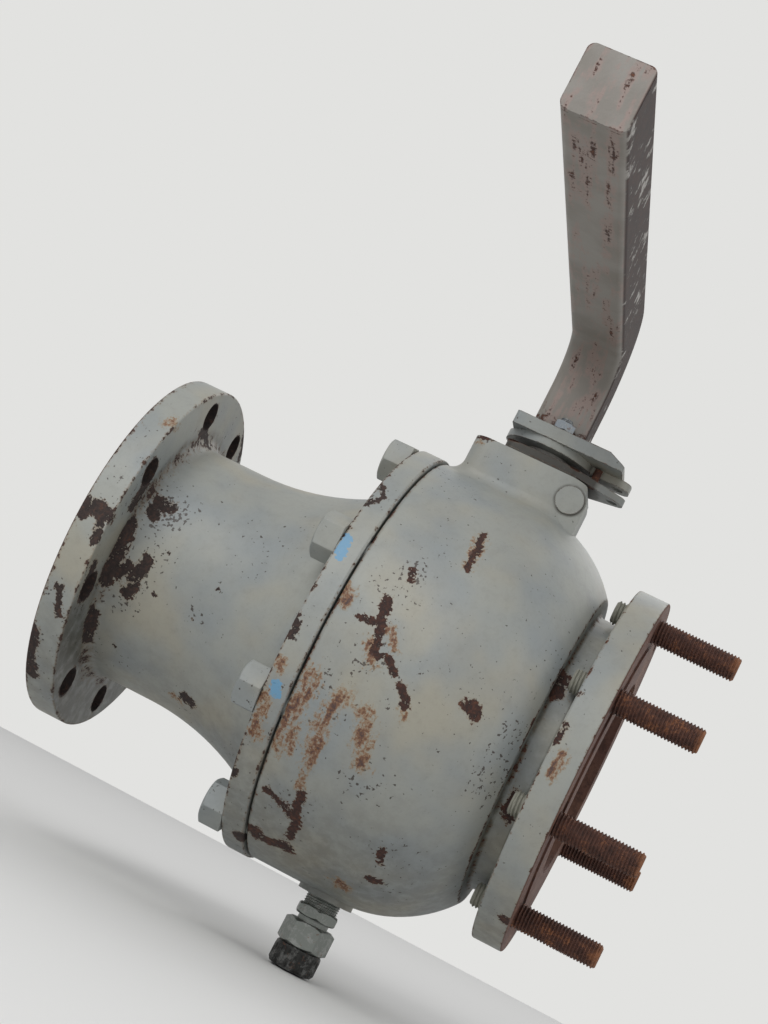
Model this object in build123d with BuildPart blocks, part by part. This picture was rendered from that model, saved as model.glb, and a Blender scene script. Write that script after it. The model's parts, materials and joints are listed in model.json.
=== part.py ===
from build123d import *
import math
import os

# Flanged trunnion ball valve, six inch full bore, class 150 pipe flanges
# The bore runs along X, the stem stands up along Z, the inlet raised face is at x = 0

# Pipe ends
BORE_R = 76.2
FACE_TO_FACE = 394.0
RAISED_WIDTH = 31.75
RAISED_HEIGHT = 1.6
FLANGE_THICK = 23.9
BOLT_CIRCLE_OUT = 12.7
FLANGE_RIM_OUT = 19.05
BOLT_COUNT = 8
STUDS_MISSING = 2
BOLT_HOLE_GAP = 1.575
STUD_R = 9.525
STUD_PROUD = 62.0
STUD_BACK = 9.0
STUD_CHAMFER = 1.5
STUD_THREAD_STEP = 0.325

# Ball, its journals and seats
BALL_RATIO = 1.55
BALL_FLAT_DROP = 14.11
JOURNAL_R = 32.0
JOURNAL_LENGTH = 20.0
BORE_EDGE = 2.0
SLOT_WIDTH = 18.0
SLOT_DEPTH = 12.5
SEAT_WALL = 21.8
SEAT_LENGTH = 38.5
SEAT_TAIL_IN = 7.61
INSERT_STEP = 3.3
INSERT_WIDTH = 5.5
INSERT_DEPTH = 7.0

# Body joint
CHAMBER_GAP = 11.89
GASKET_THICK = 1.5
GASKET_WIDTH = 7.0
GASKET_TO_BOLT = 3.475
JOINT_BOLT_COUNT = 8
JOINT_BOLT_R = 9.525
JOINT_BOLT_LENGTH = 58.0
JOINT_BOLT_COVER = 2.475
JOINT_HEAD_ACROSS = 31.8
JOINT_HEAD_HEIGHT = 18.0
HEX_CHAMFER = 1.5
JOINT_TO_STEM = 63.0

# Inlet end piece
NECK_WALL = 18.8
NECK_FILLET = 9.0
FLARE_LENGTH = 105.0
HEAD_TO_FLARE = 8.1
JOINT_FLANGE_LIP = 2.0
JOINT_FLANGE_THICK = 18.0
SPIGOT_LENGTH = 5.0

# Valve body
SHOULDER_FROM_STEM = 10.0
SHOULDER_DROP = 40.0
GROOVE_WIDTH = 18.5
GROOVE_STUD_GAP = 2.125
GROOVE_FILLET = 4.0
CHAMBER_TAPER = 10.0
OUTLET_WALL = 22.5
EDGE_R = 1.5

# Stem pad on top of the body
PAD_LENGTH = 91.0
PAD_WIDTH = 92.0
PAD_TO_INLET = 5.5
PAD_CORNER_R = 14.0
PAD_RISE = 26.0
PLUG_R = 10.6
PLUG_THREAD_R = 8.0
PLUG_BOSS_RIM = 2.0
PLUG_BOSS_DEPTH = 30.0
PLUG_BOSS_DROP = 30.0
PLUG_OFFSET = 34.0
PLUG_BELOW_TOP = 17.0
PLUG_PROUD = 1.8
PLUG_END_WALL = 2.5

# Trunnion plates that carry the journals
PLATE_LENGTH = 84.0
PLATE_WIDTH = 130.0
PLATE_GAP = 3.0
BUSH_WALL = 4.0
BUSH_LIP = 12.0

# Stem and its bearings
STEM_R = 19.05
COLLAR_WIDTH = 7.95
COLLAR_HEIGHT = 12.0
COLLAR_GAP = 2.0
TANG_LENGTH = 44.0
WASHER_THICK = 2.7
STEM_BUSH_WALL = 3.2
PACKING_WIDTH = 7.95
PACKING_HEIGHT = 15.0
PACKING_BELOW_TOP = 7.0
PACKING_FLOOR = 3.0

# Gland, lock plates and stops
GLAND_FLANGE_THICK = 4.5
GLAND_SCREW_OUT = 6.5
GLAND_SCREW_R = 4.0
GLAND_SCREW_HEAD_R = 7.5
GLAND_SCREW_COUNT = 4
GLAND_SCREW_TURN = 45.0
GLAND_SCREW_LENGTH = 27.0
GLAND_RIM = 6.8
LOCK_PLATE_THICK = 5.5
LOCK_EAR_R = 9.0
LOCK_EAR_REACH = 57.0
PADLOCK_HOLE_R = 4.5
LEVER_EAR_HALF = 12.0
LEVER_PLATE_THICK = 6.0
STOP_PIN_R = 3.0
STOP_PIN_ROOM = 4.0
STOP_PIN_TOP_GAP = 1.5
QUARTER_TURN = 90.0

# Lever
HUB_WALL = 11.95
HUB_RIM = 5.0
HUB_GAP = 5.0
HEAD_THICK = 10.0
HEAD_LEFT_LIP = 1.0
HEAD_RIGHT = 58.0
HEAD_BEVEL_RUN = 14.0
HEAD_BEVEL_DROP = 6.0
HEAD_CORNER_R = 3.0
HEAD_BOLT_AHEAD = 4.0
HEAD_BOLT_R = 5.0
HEAD_NUT_ACROSS = 15.0
HEAD_NUT_HEIGHT = 7.0
HEAD_BOLT_END = 3.0
LEVER_SECTION = 42.0
LEVER_CORNER_R = 5.0
LEVER_WALL = 4.0
LEVER_RISE = 86.0
LEVER_BEND_R = 55.0
LEVER_REACH = 450.0
END_CAP_THICK = 4.0

# Drain under the body
DRAIN_PAD_R = 21.5
DRAIN_PAD_PROUD = 3.0
DRAIN_HOLE_R = 6.0
DRAIN_THREAD_DEPTH = 12.0
NIPPLE_R = 13.5
NIPPLE_LENGTH = 8.0
ADAPTOR_ACROSS = 30.0
ADAPTOR_HEIGHT = 8.5
DRAIN_NECK_R = 12.0
DRAIN_NECK_LENGTH = 3.5
DRAIN_BODY_ACROSS = 34.0
DRAIN_BODY_HEIGHT = 19.0
DRAIN_CAP_R = 18.0
DRAIN_CAP_HEIGHT = 18.0

# Clearances
FIT = 0.05
LOOSE = 0.3
THREAD_GAP = 0.2
STOP_GAP = 0.5
NUT_GAP = 0.5
HOLE_GAP = 0.5
JOINT_HOLE_GAP = 1.0
STEM_HOLE_GAP = 1.5

# Radii that follow from the bore
RAISED_R = BORE_R + RAISED_WIDTH
BOLT_CIRCLE_R = RAISED_R + BOLT_CIRCLE_OUT
FLANGE_R = BOLT_CIRCLE_R + FLANGE_RIM_OUT
BOLT_HOLE_R = STUD_R + BOLT_HOLE_GAP
STUD_TAP_R = STUD_R - STUD_THREAD_STEP
BALL_R = BORE_R * BALL_RATIO
CHAMBER_R = BALL_R + CHAMBER_GAP
SEAT_OUTER_R = BORE_R + SEAT_WALL
CHAMBER_SEAT_R = SEAT_OUTER_R + CHAMBER_TAPER
INSERT_INNER_R = BORE_R + INSERT_STEP
INSERT_OUTER_R = INSERT_INNER_R + INSERT_WIDTH
JOINT_BOLT_CIRCLE_R = CHAMBER_R + GASKET_WIDTH + GASKET_TO_BOLT + JOINT_BOLT_R
BARREL_R = JOINT_BOLT_CIRCLE_R + JOINT_BOLT_R + JOINT_BOLT_COVER
JOINT_FLANGE_R = BARREL_R + JOINT_FLANGE_LIP
NECK_R = BORE_R + NECK_WALL
FLARE_R = JOINT_BOLT_CIRCLE_R - JOINT_HEAD_ACROSS / 2 - HEAD_TO_FLARE
GROOVE_R = BOLT_CIRCLE_R - STUD_R - GROOVE_STUD_GAP
SHOULDER_END_R = BARREL_R - SHOULDER_DROP
BUSH_R = JOURNAL_R + FIT + BUSH_WALL
BUSH_FLANGE_R = BUSH_R + BUSH_LIP

# Radii that follow from the stem
COLLAR_R = STEM_R + COLLAR_WIDTH
STEM_SQUARE = math.sqrt(2) * STEM_R - LOOSE
STEM_BUSH_R = STEM_R + FIT + STEM_BUSH_WALL
PACKING_R = STEM_R + PACKING_WIDTH
GLAND_SCREW_CIRCLE_R = PACKING_R + GLAND_SCREW_OUT
GLAND_SCREW_SIDE = GLAND_SCREW_CIRCLE_R * math.cos(math.radians(GLAND_SCREW_TURN))
GLAND_HALF = GLAND_SCREW_SIDE + GLAND_RIM
HUB_R = STEM_R + HUB_WALL
HEAD_LEFT = HUB_R + HEAD_LEFT_LIP
LEVER_PLATE_R = HUB_R + HUB_RIM
STOP_PIN_CIRCLE_R = LEVER_PLATE_R + STOP_PIN_R + STOP_PIN_ROOM

# Places along the bore
SEAT_BACK = BALL_R - SEAT_TAIL_IN
SEAT_FRONT = SEAT_BACK - SEAT_LENGTH
OUTLET_SEAT_X = FACE_TO_FACE - OUTLET_WALL
STEM_X = OUTLET_SEAT_X - SEAT_BACK
INLET_SEAT_X = STEM_X - SEAT_BACK
JOINT_X = STEM_X - JOINT_TO_STEM
BODY_X = JOINT_X + GASKET_THICK
FLARE_X = JOINT_X - JOINT_FLANGE_THICK
NECK_STRAIGHT = FLARE_X - FLARE_LENGTH
OUTLET_FLANGE_X = FACE_TO_FACE - RAISED_HEIGHT - FLANGE_THICK
SHOULDER_X = OUTLET_FLANGE_X - GROOVE_WIDTH
SHOULDER_START = STEM_X + SHOULDER_FROM_STEM
CHAMBER_END_X = STEM_X + PLATE_LENGTH / 2 + LOOSE
INSERT_BOTTOM = math.sqrt(BALL_R**2 - INSERT_INNER_R**2) + INSERT_DEPTH
HALF_PITCH = 180.0 / BOLT_COUNT
JOINT_HALF_PITCH = 180.0 / JOINT_BOLT_COUNT
PAD_X = STEM_X - PAD_TO_INLET
PAD_FILLET = PAD_X - PAD_LENGTH / 2 - BODY_X - LOOSE

# Heights of the ball, stem, gland and lever
BALL_FLAT_Z = BALL_R - BALL_FLAT_DROP
BALL_FLAT_R = math.sqrt(BALL_R**2 - BALL_FLAT_Z**2)
JOURNAL_END_Z = BALL_FLAT_Z + JOURNAL_LENGTH
PLATE_INNER_Z = BALL_FLAT_Z + PLATE_GAP
COLLAR_BOTTOM_Z = JOURNAL_END_Z + COLLAR_GAP
COLLAR_TOP_Z = COLLAR_BOTTOM_Z + COLLAR_HEIGHT
WASHER_TOP_Z = COLLAR_TOP_Z + WASHER_THICK + LOOSE
PAD_TOP_Z = BARREL_R + PAD_RISE
PACKING_TOP_Z = PAD_TOP_Z - PACKING_BELOW_TOP
PACKING_BOTTOM_Z = PACKING_TOP_Z - PACKING_HEIGHT
STEM_BUSH_TOP_Z = PACKING_BOTTOM_Z - PACKING_FLOOR
GLAND_TOP_Z = PAD_TOP_Z + GLAND_FLANGE_THICK
LOCK_TOP_Z = GLAND_TOP_Z + LOCK_PLATE_THICK
HUB_BOTTOM_Z = LOCK_TOP_Z + HUB_GAP
HEAD_BOTTOM_Z = HUB_BOTTOM_Z + LEVER_PLATE_THICK
HEAD_TOP_Z = HEAD_BOTTOM_Z + HEAD_THICK
LEVER_AXIS_Z = HEAD_TOP_Z + LEVER_RISE
GLAND_SCREW_DEPTH = GLAND_SCREW_LENGTH - LOCK_PLATE_THICK - GLAND_FLANGE_THICK + 2 * HOLE_GAP

# Heights of the drain
DRAIN_PAD_Z = -(BARREL_R + DRAIN_PAD_PROUD)
ADAPTOR_TOP_Z = DRAIN_PAD_Z - NIPPLE_LENGTH
ADAPTOR_BOTTOM_Z = ADAPTOR_TOP_Z - ADAPTOR_HEIGHT
DRAIN_BODY_TOP_Z = ADAPTOR_BOTTOM_Z - DRAIN_NECK_LENGTH
DRAIN_CAP_TOP_Z = DRAIN_BODY_TOP_Z - DRAIN_BODY_HEIGHT

# Centres of the stem, screws, bolts and studs
STEM_CENTRE = (STEM_X, 0)
STEM_AXIS = Axis((STEM_X, 0, 0), (0, 0, 1))
PLUG_PLACE = (STEM_X + PLUG_OFFSET, PAD_TOP_Z - PLUG_BELOW_TOP)
GLAND_SCREW_PLACES = [
    (STEM_X + x * GLAND_SCREW_SIDE, y * GLAND_SCREW_SIDE, LOCK_TOP_Z)
    for x, y in ((1, 1), (-1, 1), (-1, -1), (1, -1))
]
STUD_PLACES = [
    (
        BOLT_CIRCLE_R * math.cos(math.radians((2 * n + 1) * HALF_PITCH)),
        BOLT_CIRCLE_R * math.sin(math.radians((2 * n + 1) * HALF_PITCH)),
    )
    for n in range(STUDS_MISSING, BOLT_COUNT)
]
HEAD_BOLT_Y = (LEVER_SECTION + HEAD_NUT_ACROSS) / 2 + NUT_GAP
HEAD_HALF_WIDTH = HEAD_BOLT_Y + HEAD_NUT_ACROSS / 2 + NUT_GAP
HEAD_BOLT_PLACES = [(STEM_X + HEAD_BOLT_AHEAD, side * HEAD_BOLT_Y) for side in (-1, 1)]

# Stop pins stand just clear of the sides of the lever's ear, shut and open
STOP_ANGLE = math.asin((LEVER_EAR_HALF + STOP_PIN_R + STOP_GAP) / STOP_PIN_CIRCLE_R)
STOP_PIN_PLACES = [
    (STEM_X + STOP_PIN_CIRCLE_R * math.cos(angle), STOP_PIN_CIRCLE_R * math.sin(angle))
    for angle in (-STOP_ANGLE, math.radians(QUARTER_TURN) + STOP_ANGLE)
]

# The plug in the side of the pad and its boss, the plug ending short of the nearer gland screw
PLUG_BOSS_R = PLUG_R + PLUG_BOSS_RIM
PLUG_DEPTH = PAD_WIDTH / 2 - GLAND_SCREW_SIDE - GLAND_SCREW_R - PLUG_END_WALL

# Radius of the shoulder arc that leaves the barrel level and ends at the shoulder face
SHOULDER_RUN = SHOULDER_X - SHOULDER_START
SHOULDER_ARC_R = (SHOULDER_RUN**2 + SHOULDER_DROP**2) / (2 * SHOULDER_DROP)

# Radius of the flare arc that leaves the inlet neck level and ends at the joint flange
FLARE_GROWTH = FLARE_R - NECK_R
FLARE_ARC_R = (FLARE_LENGTH**2 + FLARE_GROWTH**2) / (2 * FLARE_GROWTH)

os.makedirs("parts", exist_ok=True)


def save(part, name):
    part.label = name
    export_step(part, "parts/" + name + ".step")


# Circular edges of a casting at one place along the bore
def rings(casting, x, radius):
    circles = casting.edges().filter_by(GeomType.CIRCLE)
    return circles.filter_by(lambda e: abs(e.center().X - x) < FIT and abs(e.radius - radius) < FIT)


# Inlet end piece: pipe flange, neck that flares to the joint flange, seat pocket and spigot
with BuildPart() as inlet_end:
    with BuildSketch(Plane.XZ):
        with BuildLine():
            inside = Polyline(
                (JOINT_X + SPIGOT_LENGTH, CHAMBER_SEAT_R + SPIGOT_LENGTH),
                (JOINT_X - JOINT_FLANGE_THICK, CHAMBER_SEAT_R),
                (JOINT_X - JOINT_FLANGE_THICK, SEAT_OUTER_R + LOOSE),
                (INLET_SEAT_X, SEAT_OUTER_R + LOOSE),
                (INLET_SEAT_X, BORE_R),
                (0, BORE_R),
                (0, RAISED_R),
                (RAISED_HEIGHT, RAISED_R),
                (RAISED_HEIGHT, FLANGE_R),
                (RAISED_HEIGHT + FLANGE_THICK, FLANGE_R),
                (RAISED_HEIGHT + FLANGE_THICK, NECK_R),
                (NECK_STRAIGHT, NECK_R),
            )
            flare = RadiusArc(inside @ 1, (FLARE_X, FLARE_R), -FLARE_ARC_R)
            Polyline(
                flare @ 1,
                (FLARE_X, JOINT_FLANGE_R),
                (JOINT_X, JOINT_FLANGE_R),
                (JOINT_X, CHAMBER_R - LOOSE),
                (JOINT_X + SPIGOT_LENGTH, CHAMBER_R - LOOSE),
                inside @ 0,
            )
        make_face()
    revolve(axis=Axis.X)
    fillet(rings(inlet_end, RAISED_HEIGHT + FLANGE_THICK, NECK_R), NECK_FILLET)
    for x in (RAISED_HEIGHT, RAISED_HEIGHT + FLANGE_THICK):
        fillet(rings(inlet_end, x, FLANGE_R), EDGE_R)
    for x in (FLARE_X, JOINT_X):
        fillet(rings(inlet_end, x, JOINT_FLANGE_R), EDGE_R)
    with BuildSketch(Plane.YZ.offset(RAISED_HEIGHT)):
        with PolarLocations(BOLT_CIRCLE_R, BOLT_COUNT, HALF_PITCH):
            Circle(BOLT_HOLE_R)
    extrude(amount=FLANGE_THICK, mode=Mode.SUBTRACT)
    with BuildSketch(Plane.YZ.offset(FLARE_X)):
        with PolarLocations(JOINT_BOLT_CIRCLE_R, JOINT_BOLT_COUNT, JOINT_HALF_PITCH):
            Circle(JOINT_BOLT_R + JOINT_HOLE_GAP)
    extrude(amount=JOINT_FLANGE_THICK, mode=Mode.SUBTRACT)
save(inlet_end.part, "inlet_end")

# Valve body: barrel, rounded shoulder, groove, outlet flange, stem pad, drain pad and chamber
with BuildPart() as valve_body:
    with BuildSketch(Plane.XZ):
        with BuildLine():
            barrel = Polyline((BODY_X, 0), (BODY_X, BARREL_R), (SHOULDER_START, BARREL_R))
            shoulder = RadiusArc(barrel @ 1, (SHOULDER_X, SHOULDER_END_R), SHOULDER_ARC_R)
            Polyline(
                shoulder @ 1,
                (SHOULDER_X, GROOVE_R),
                (OUTLET_FLANGE_X, GROOVE_R),
                (OUTLET_FLANGE_X, FLANGE_R),
                (FACE_TO_FACE - RAISED_HEIGHT, FLANGE_R),
                (FACE_TO_FACE - RAISED_HEIGHT, RAISED_R),
                (FACE_TO_FACE, RAISED_R),
                (FACE_TO_FACE, 0),
                barrel @ 0,
            )
        make_face()
    revolve(axis=Axis.X)
    for x, radius in (
        (BODY_X, BARREL_R),
        (OUTLET_FLANGE_X, GROOVE_R),
        (OUTLET_FLANGE_X, FLANGE_R),
        (FACE_TO_FACE - RAISED_HEIGHT, FLANGE_R),
    ):
        fillet(rings(valve_body, x, radius), EDGE_R)
    for radius in (SHOULDER_END_R, GROOVE_R):
        fillet(rings(valve_body, SHOULDER_X, radius), GROOVE_FILLET)
    with BuildSketch(Plane.XY.offset(CHAMBER_R)):
        with Locations((PAD_X, 0)):
            RectangleRounded(PAD_LENGTH, PAD_WIDTH, PAD_CORNER_R)
    extrude(amount=PAD_TOP_Z - CHAMBER_R)
    with BuildSketch(Plane.XY.offset(-CHAMBER_R)):
        with Locations(STEM_CENTRE):
            Circle(DRAIN_PAD_R)
    extrude(amount=DRAIN_PAD_Z + CHAMBER_R)
    pad_root = valve_body.edges().filter_by(
        lambda e: e.geom_type not in (GeomType.LINE, GeomType.CIRCLE) and e.center().Z > 0
    )
    fillet(pad_root, PAD_FILLET)
    # Boss of the plug: a round top with straight sides down into the shoulder
    with BuildSketch(Plane.XZ.offset(PAD_WIDTH / 2)):
        with Locations(PLUG_PLACE):
            Circle(PLUG_BOSS_R)
            Rectangle(2 * PLUG_BOSS_R, PLUG_BOSS_DROP, align=(Align.CENTER, Align.MAX))
    extrude(amount=-PLUG_BOSS_DEPTH)
    # Ball chamber, outlet seat pocket and bore
    with BuildSketch(Plane.XZ):
        with BuildLine():
            Polyline(
                (BODY_X, 0),
                (BODY_X, CHAMBER_R),
                (CHAMBER_END_X, CHAMBER_R),
                (OUTLET_SEAT_X - SEAT_LENGTH, CHAMBER_SEAT_R),
                (OUTLET_SEAT_X - SEAT_LENGTH, SEAT_OUTER_R + LOOSE),
                (OUTLET_SEAT_X, SEAT_OUTER_R + LOOSE),
                (OUTLET_SEAT_X, BORE_R),
                (FACE_TO_FACE, BORE_R),
                (FACE_TO_FACE, 0),
                close=True,
            )
        make_face()
    revolve(axis=Axis.X, mode=Mode.SUBTRACT)
    # Tapped holes for the joint screws and the outlet studs
    with BuildSketch(Plane.YZ.offset(BODY_X)):
        with PolarLocations(JOINT_BOLT_CIRCLE_R, JOINT_BOLT_COUNT, JOINT_HALF_PITCH):
            Circle(JOINT_BOLT_R + THREAD_GAP)
    extrude(amount=JOINT_BOLT_LENGTH - JOINT_FLANGE_THICK, mode=Mode.SUBTRACT)
    with BuildSketch(Plane.YZ.offset(OUTLET_FLANGE_X)):
        with PolarLocations(BOLT_CIRCLE_R, BOLT_COUNT, HALF_PITCH):
            Circle(STUD_TAP_R + THREAD_GAP)
    extrude(amount=FLANGE_THICK, mode=Mode.SUBTRACT)
    # Stem hole from the chamber up: collar counterbore, bush, neck and packing box
    with BuildSketch(Plane.XZ):
        with BuildLine():
            Polyline(
                (STEM_X, 0),
                (STEM_X + COLLAR_R + HOLE_GAP, 0),
                (STEM_X + COLLAR_R + HOLE_GAP, WASHER_TOP_Z),
                (STEM_X + STEM_BUSH_R + FIT, WASHER_TOP_Z),
                (STEM_X + STEM_BUSH_R + FIT, STEM_BUSH_TOP_Z + LOOSE),
                (STEM_X + STEM_R + STEM_HOLE_GAP, STEM_BUSH_TOP_Z + LOOSE),
                (STEM_X + STEM_R + STEM_HOLE_GAP, PACKING_BOTTOM_Z),
                (STEM_X + PACKING_R, PACKING_BOTTOM_Z),
                (STEM_X + PACKING_R, PAD_TOP_Z),
                (STEM_X, PAD_TOP_Z),
                close=True,
            )
        make_face()
    revolve(axis=STEM_AXIS, mode=Mode.SUBTRACT)
    # Tapped holes for the gland screws
    with BuildSketch(Plane.XY.offset(PAD_TOP_Z)):
        with Locations(STEM_CENTRE):
            with PolarLocations(GLAND_SCREW_CIRCLE_R, GLAND_SCREW_COUNT, GLAND_SCREW_TURN):
                Circle(GLAND_SCREW_R + THREAD_GAP)
    extrude(amount=-GLAND_SCREW_DEPTH, mode=Mode.SUBTRACT)
    # Drain hole, tapped for the nipple, and the tapped hole of the side plug
    with BuildSketch(Plane.XY.offset(DRAIN_PAD_Z)):
        with Locations(STEM_CENTRE):
            Circle(DRAIN_HOLE_R)
    extrude(amount=-DRAIN_PAD_Z - JOURNAL_END_Z, mode=Mode.SUBTRACT)
    with BuildSketch(Plane.XY.offset(DRAIN_PAD_Z)):
        with Locations(STEM_CENTRE):
            Circle(NIPPLE_R + THREAD_GAP)
    extrude(amount=DRAIN_THREAD_DEPTH, mode=Mode.SUBTRACT)
    with BuildSketch(Plane.XZ.offset(PAD_WIDTH / 2)):
        with Locations(PLUG_PLACE):
            Circle(PLUG_THREAD_R + THREAD_GAP)
    extrude(amount=-PLUG_DEPTH, mode=Mode.SUBTRACT)
    with BuildSketch(Plane.XZ.offset(PAD_WIDTH / 2)):
        with Locations(PLUG_PLACE):
            Circle(PLUG_R + LOOSE)
    extrude(amount=PAD_FILLET, mode=Mode.SUBTRACT)
save(valve_body.part, "valve_body")

# Joint gasket between the end piece and the body
with BuildPart() as joint_gasket:
    with BuildSketch(Plane.YZ.offset(JOINT_X)):
        Circle(CHAMBER_R + GASKET_WIDTH)
        Circle(CHAMBER_R, mode=Mode.SUBTRACT)
    extrude(amount=GASKET_THICK)
save(joint_gasket.part, "joint_gasket")

# Joint cap screws with hexagon heads
with BuildPart() as joint_cap_screws:
    with BuildSketch(Plane.YZ.offset(FLARE_X)):
        with PolarLocations(JOINT_BOLT_CIRCLE_R, JOINT_BOLT_COUNT, JOINT_HALF_PITCH):
            RegularPolygon(JOINT_HEAD_ACROSS / 2, 6, major_radius=False)
    extrude(amount=-JOINT_HEAD_HEIGHT)
    chamfer(joint_cap_screws.faces().filter_by(Axis.X).group_by(Axis.X)[0].edges(), HEX_CHAMFER)
    with BuildSketch(Plane.YZ.offset(FLARE_X)):
        with PolarLocations(JOINT_BOLT_CIRCLE_R, JOINT_BOLT_COUNT, JOINT_HALF_PITCH):
            Circle(JOINT_BOLT_R)
    extrude(amount=JOINT_BOLT_LENGTH)
save(joint_cap_screws.part, "joint_cap_screws")

# Studs screwed through the outlet flange, with their back ends showing in the groove
# The first two of the tapped holes stand empty
with BuildPart() as outlet_studs:
    with BuildSketch(Plane.YZ.offset(OUTLET_FLANGE_X - STUD_BACK)):
        with Locations(*STUD_PLACES):
            Circle(STUD_TAP_R)
    extrude(amount=STUD_BACK + FLANGE_THICK)
    with BuildSketch(Plane.YZ.offset(FACE_TO_FACE - RAISED_HEIGHT)):
        with Locations(*STUD_PLACES):
            Circle(STUD_R)
    extrude(amount=RAISED_HEIGHT + STUD_PROUD)
    for end in (0, -1):
        chamfer(outlet_studs.faces().filter_by(Axis.X).group_by(Axis.X)[end].edges(), STUD_CHAMFER)
save(outlet_studs.part, "outlet_studs")

# Ball with a journal above and below, the bore lying across the pipe in the shut position
with BuildPart() as ball:
    with BuildSketch(Plane.XZ):
        with BuildLine():
            Polyline(
                (STEM_X, -JOURNAL_END_Z),
                (STEM_X + JOURNAL_R, -JOURNAL_END_Z),
                (STEM_X + JOURNAL_R, -BALL_FLAT_Z),
                (STEM_X + BALL_FLAT_R, -BALL_FLAT_Z),
            )
            ThreePointArc(
                (STEM_X + BALL_FLAT_R, -BALL_FLAT_Z),
                (STEM_X + BALL_R, 0),
                (STEM_X + BALL_FLAT_R, BALL_FLAT_Z),
            )
            Polyline(
                (STEM_X + BALL_FLAT_R, BALL_FLAT_Z),
                (STEM_X + JOURNAL_R, BALL_FLAT_Z),
                (STEM_X + JOURNAL_R, JOURNAL_END_Z),
                (STEM_X, JOURNAL_END_Z),
                (STEM_X, -JOURNAL_END_Z),
            )
        make_face()
    revolve(axis=STEM_AXIS)
    with BuildSketch(Plane.XZ):
        with Locations((STEM_X, 0)):
            Circle(BORE_R)
    extrude(amount=BALL_R, both=True, mode=Mode.SUBTRACT)
    bore_edges = ball.edges().filter_by(
        lambda e: abs(abs(e.center().Y) - math.sqrt(BALL_R**2 - BORE_R**2)) < LOOSE and e.length > BORE_R
    )
    fillet(bore_edges, BORE_EDGE)
    with BuildSketch(Plane.XY.offset(JOURNAL_END_Z)):
        with Locations(STEM_CENTRE):
            Rectangle(SLOT_WIDTH, 2 * JOURNAL_R + BORE_EDGE)
    extrude(amount=-SLOT_DEPTH, mode=Mode.SUBTRACT)
save(ball.part, "ball")


# Section of a seat ring or insert: a rectangle between two radii, hollowed by the ball
def seat_section(side, back, front, inner_r, outer_r, mode=Mode.ADD):
    with Locations((STEM_X + side * (back + front) / 2, (inner_r + outer_r) / 2)):
        Rectangle(back - front, outer_r - inner_r, mode=mode)
    with Locations((STEM_X, 0)):
        Circle(BALL_R + LOOSE, mode=Mode.SUBTRACT)


# Seat ring: a sleeve in its pocket, with a front hollowed to the ball and a groove for the insert
def seat_ring(side):
    with BuildPart() as ring:
        with BuildSketch(Plane.XZ):
            seat_section(side, SEAT_BACK, SEAT_FRONT, BORE_R, SEAT_OUTER_R)
            seat_section(side, INSERT_BOTTOM, SEAT_FRONT, INSERT_INNER_R, INSERT_OUTER_R, Mode.SUBTRACT)
        revolve(axis=Axis.X)
    return ring.part


# Soft insert that fills the groove and is hollowed to the ball
def seat_insert(side):
    with BuildPart() as insert:
        with BuildSketch(Plane.XZ):
            seat_section(side, INSERT_BOTTOM, SEAT_FRONT, INSERT_INNER_R, INSERT_OUTER_R)
        revolve(axis=Axis.X)
    return insert.part


for side, end in ((-1, "inlet"), (1, "outlet")):
    save(seat_ring(side), end + "_seat_ring")
    save(seat_insert(side), end + "_seat_insert")


# Trunnion plate: a block bored for the journal's bush, rounded to lie against the chamber wall
def trunnion_plate(side):
    with BuildPart() as plate:
        with BuildSketch(Plane.YZ.offset(STEM_X - PLATE_LENGTH / 2)):
            Circle(CHAMBER_R - LOOSE)
            with Locations((0, side * (PLATE_INNER_Z + CHAMBER_R / 2))):
                Rectangle(PLATE_WIDTH, CHAMBER_R, mode=Mode.INTERSECT)
        extrude(amount=PLATE_LENGTH)
        with BuildSketch(Plane.XY):
            with Locations(STEM_CENTRE):
                Circle(BUSH_R)
        extrude(amount=side * CHAMBER_R, mode=Mode.SUBTRACT)
    return plate.part


# Flanged bush that carries a journal sideways and holds the ball off the plate
def trunnion_bush(side):
    with BuildPart() as bush:
        with BuildSketch(Plane.XY.offset(side * PLATE_INNER_Z)):
            with Locations(STEM_CENTRE):
                Circle(BUSH_R)
                Circle(JOURNAL_R + FIT, mode=Mode.SUBTRACT)
        extrude(amount=side * (JOURNAL_END_Z - PLATE_INNER_Z))
        with BuildSketch(Plane.XY.offset(side * PLATE_INNER_Z)):
            with Locations(STEM_CENTRE):
                Circle(BUSH_FLANGE_R)
                Circle(JOURNAL_R + FIT, mode=Mode.SUBTRACT)
        extrude(amount=-side * (PLATE_GAP - LOOSE))
    return bush.part


for side, end in ((1, "upper"), (-1, "lower")):
    save(trunnion_plate(side), end + "_trunnion_plate")
    save(trunnion_bush(side), end + "_trunnion_bush")

# Stem: a tang in the journal's slot, a collar that cannot blow out, and a square for the lever
with BuildPart() as stem:
    with BuildSketch(Plane.XY.offset(COLLAR_BOTTOM_Z)):
        with Locations(STEM_CENTRE):
            Circle(COLLAR_R)
    extrude(amount=COLLAR_HEIGHT)
    with BuildSketch(Plane.XY.offset(COLLAR_TOP_Z)):
        with Locations(STEM_CENTRE):
            Circle(STEM_R)
    extrude(amount=HUB_BOTTOM_Z - COLLAR_TOP_Z)
    with BuildSketch(Plane.XY.offset(HUB_BOTTOM_Z)):
        with Locations(STEM_CENTRE):
            Rectangle(STEM_SQUARE, STEM_SQUARE)
    extrude(amount=HEAD_TOP_Z - HUB_BOTTOM_Z - HOLE_GAP)
    with BuildSketch(Plane.XY.offset(COLLAR_BOTTOM_Z)):
        with Locations(STEM_CENTRE):
            Rectangle(SLOT_WIDTH - 2 * FIT, TANG_LENGTH)
    extrude(amount=JOURNAL_END_Z - SLOT_DEPTH + HOLE_GAP - COLLAR_BOTTOM_Z)
save(stem.part, "stem")


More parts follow.
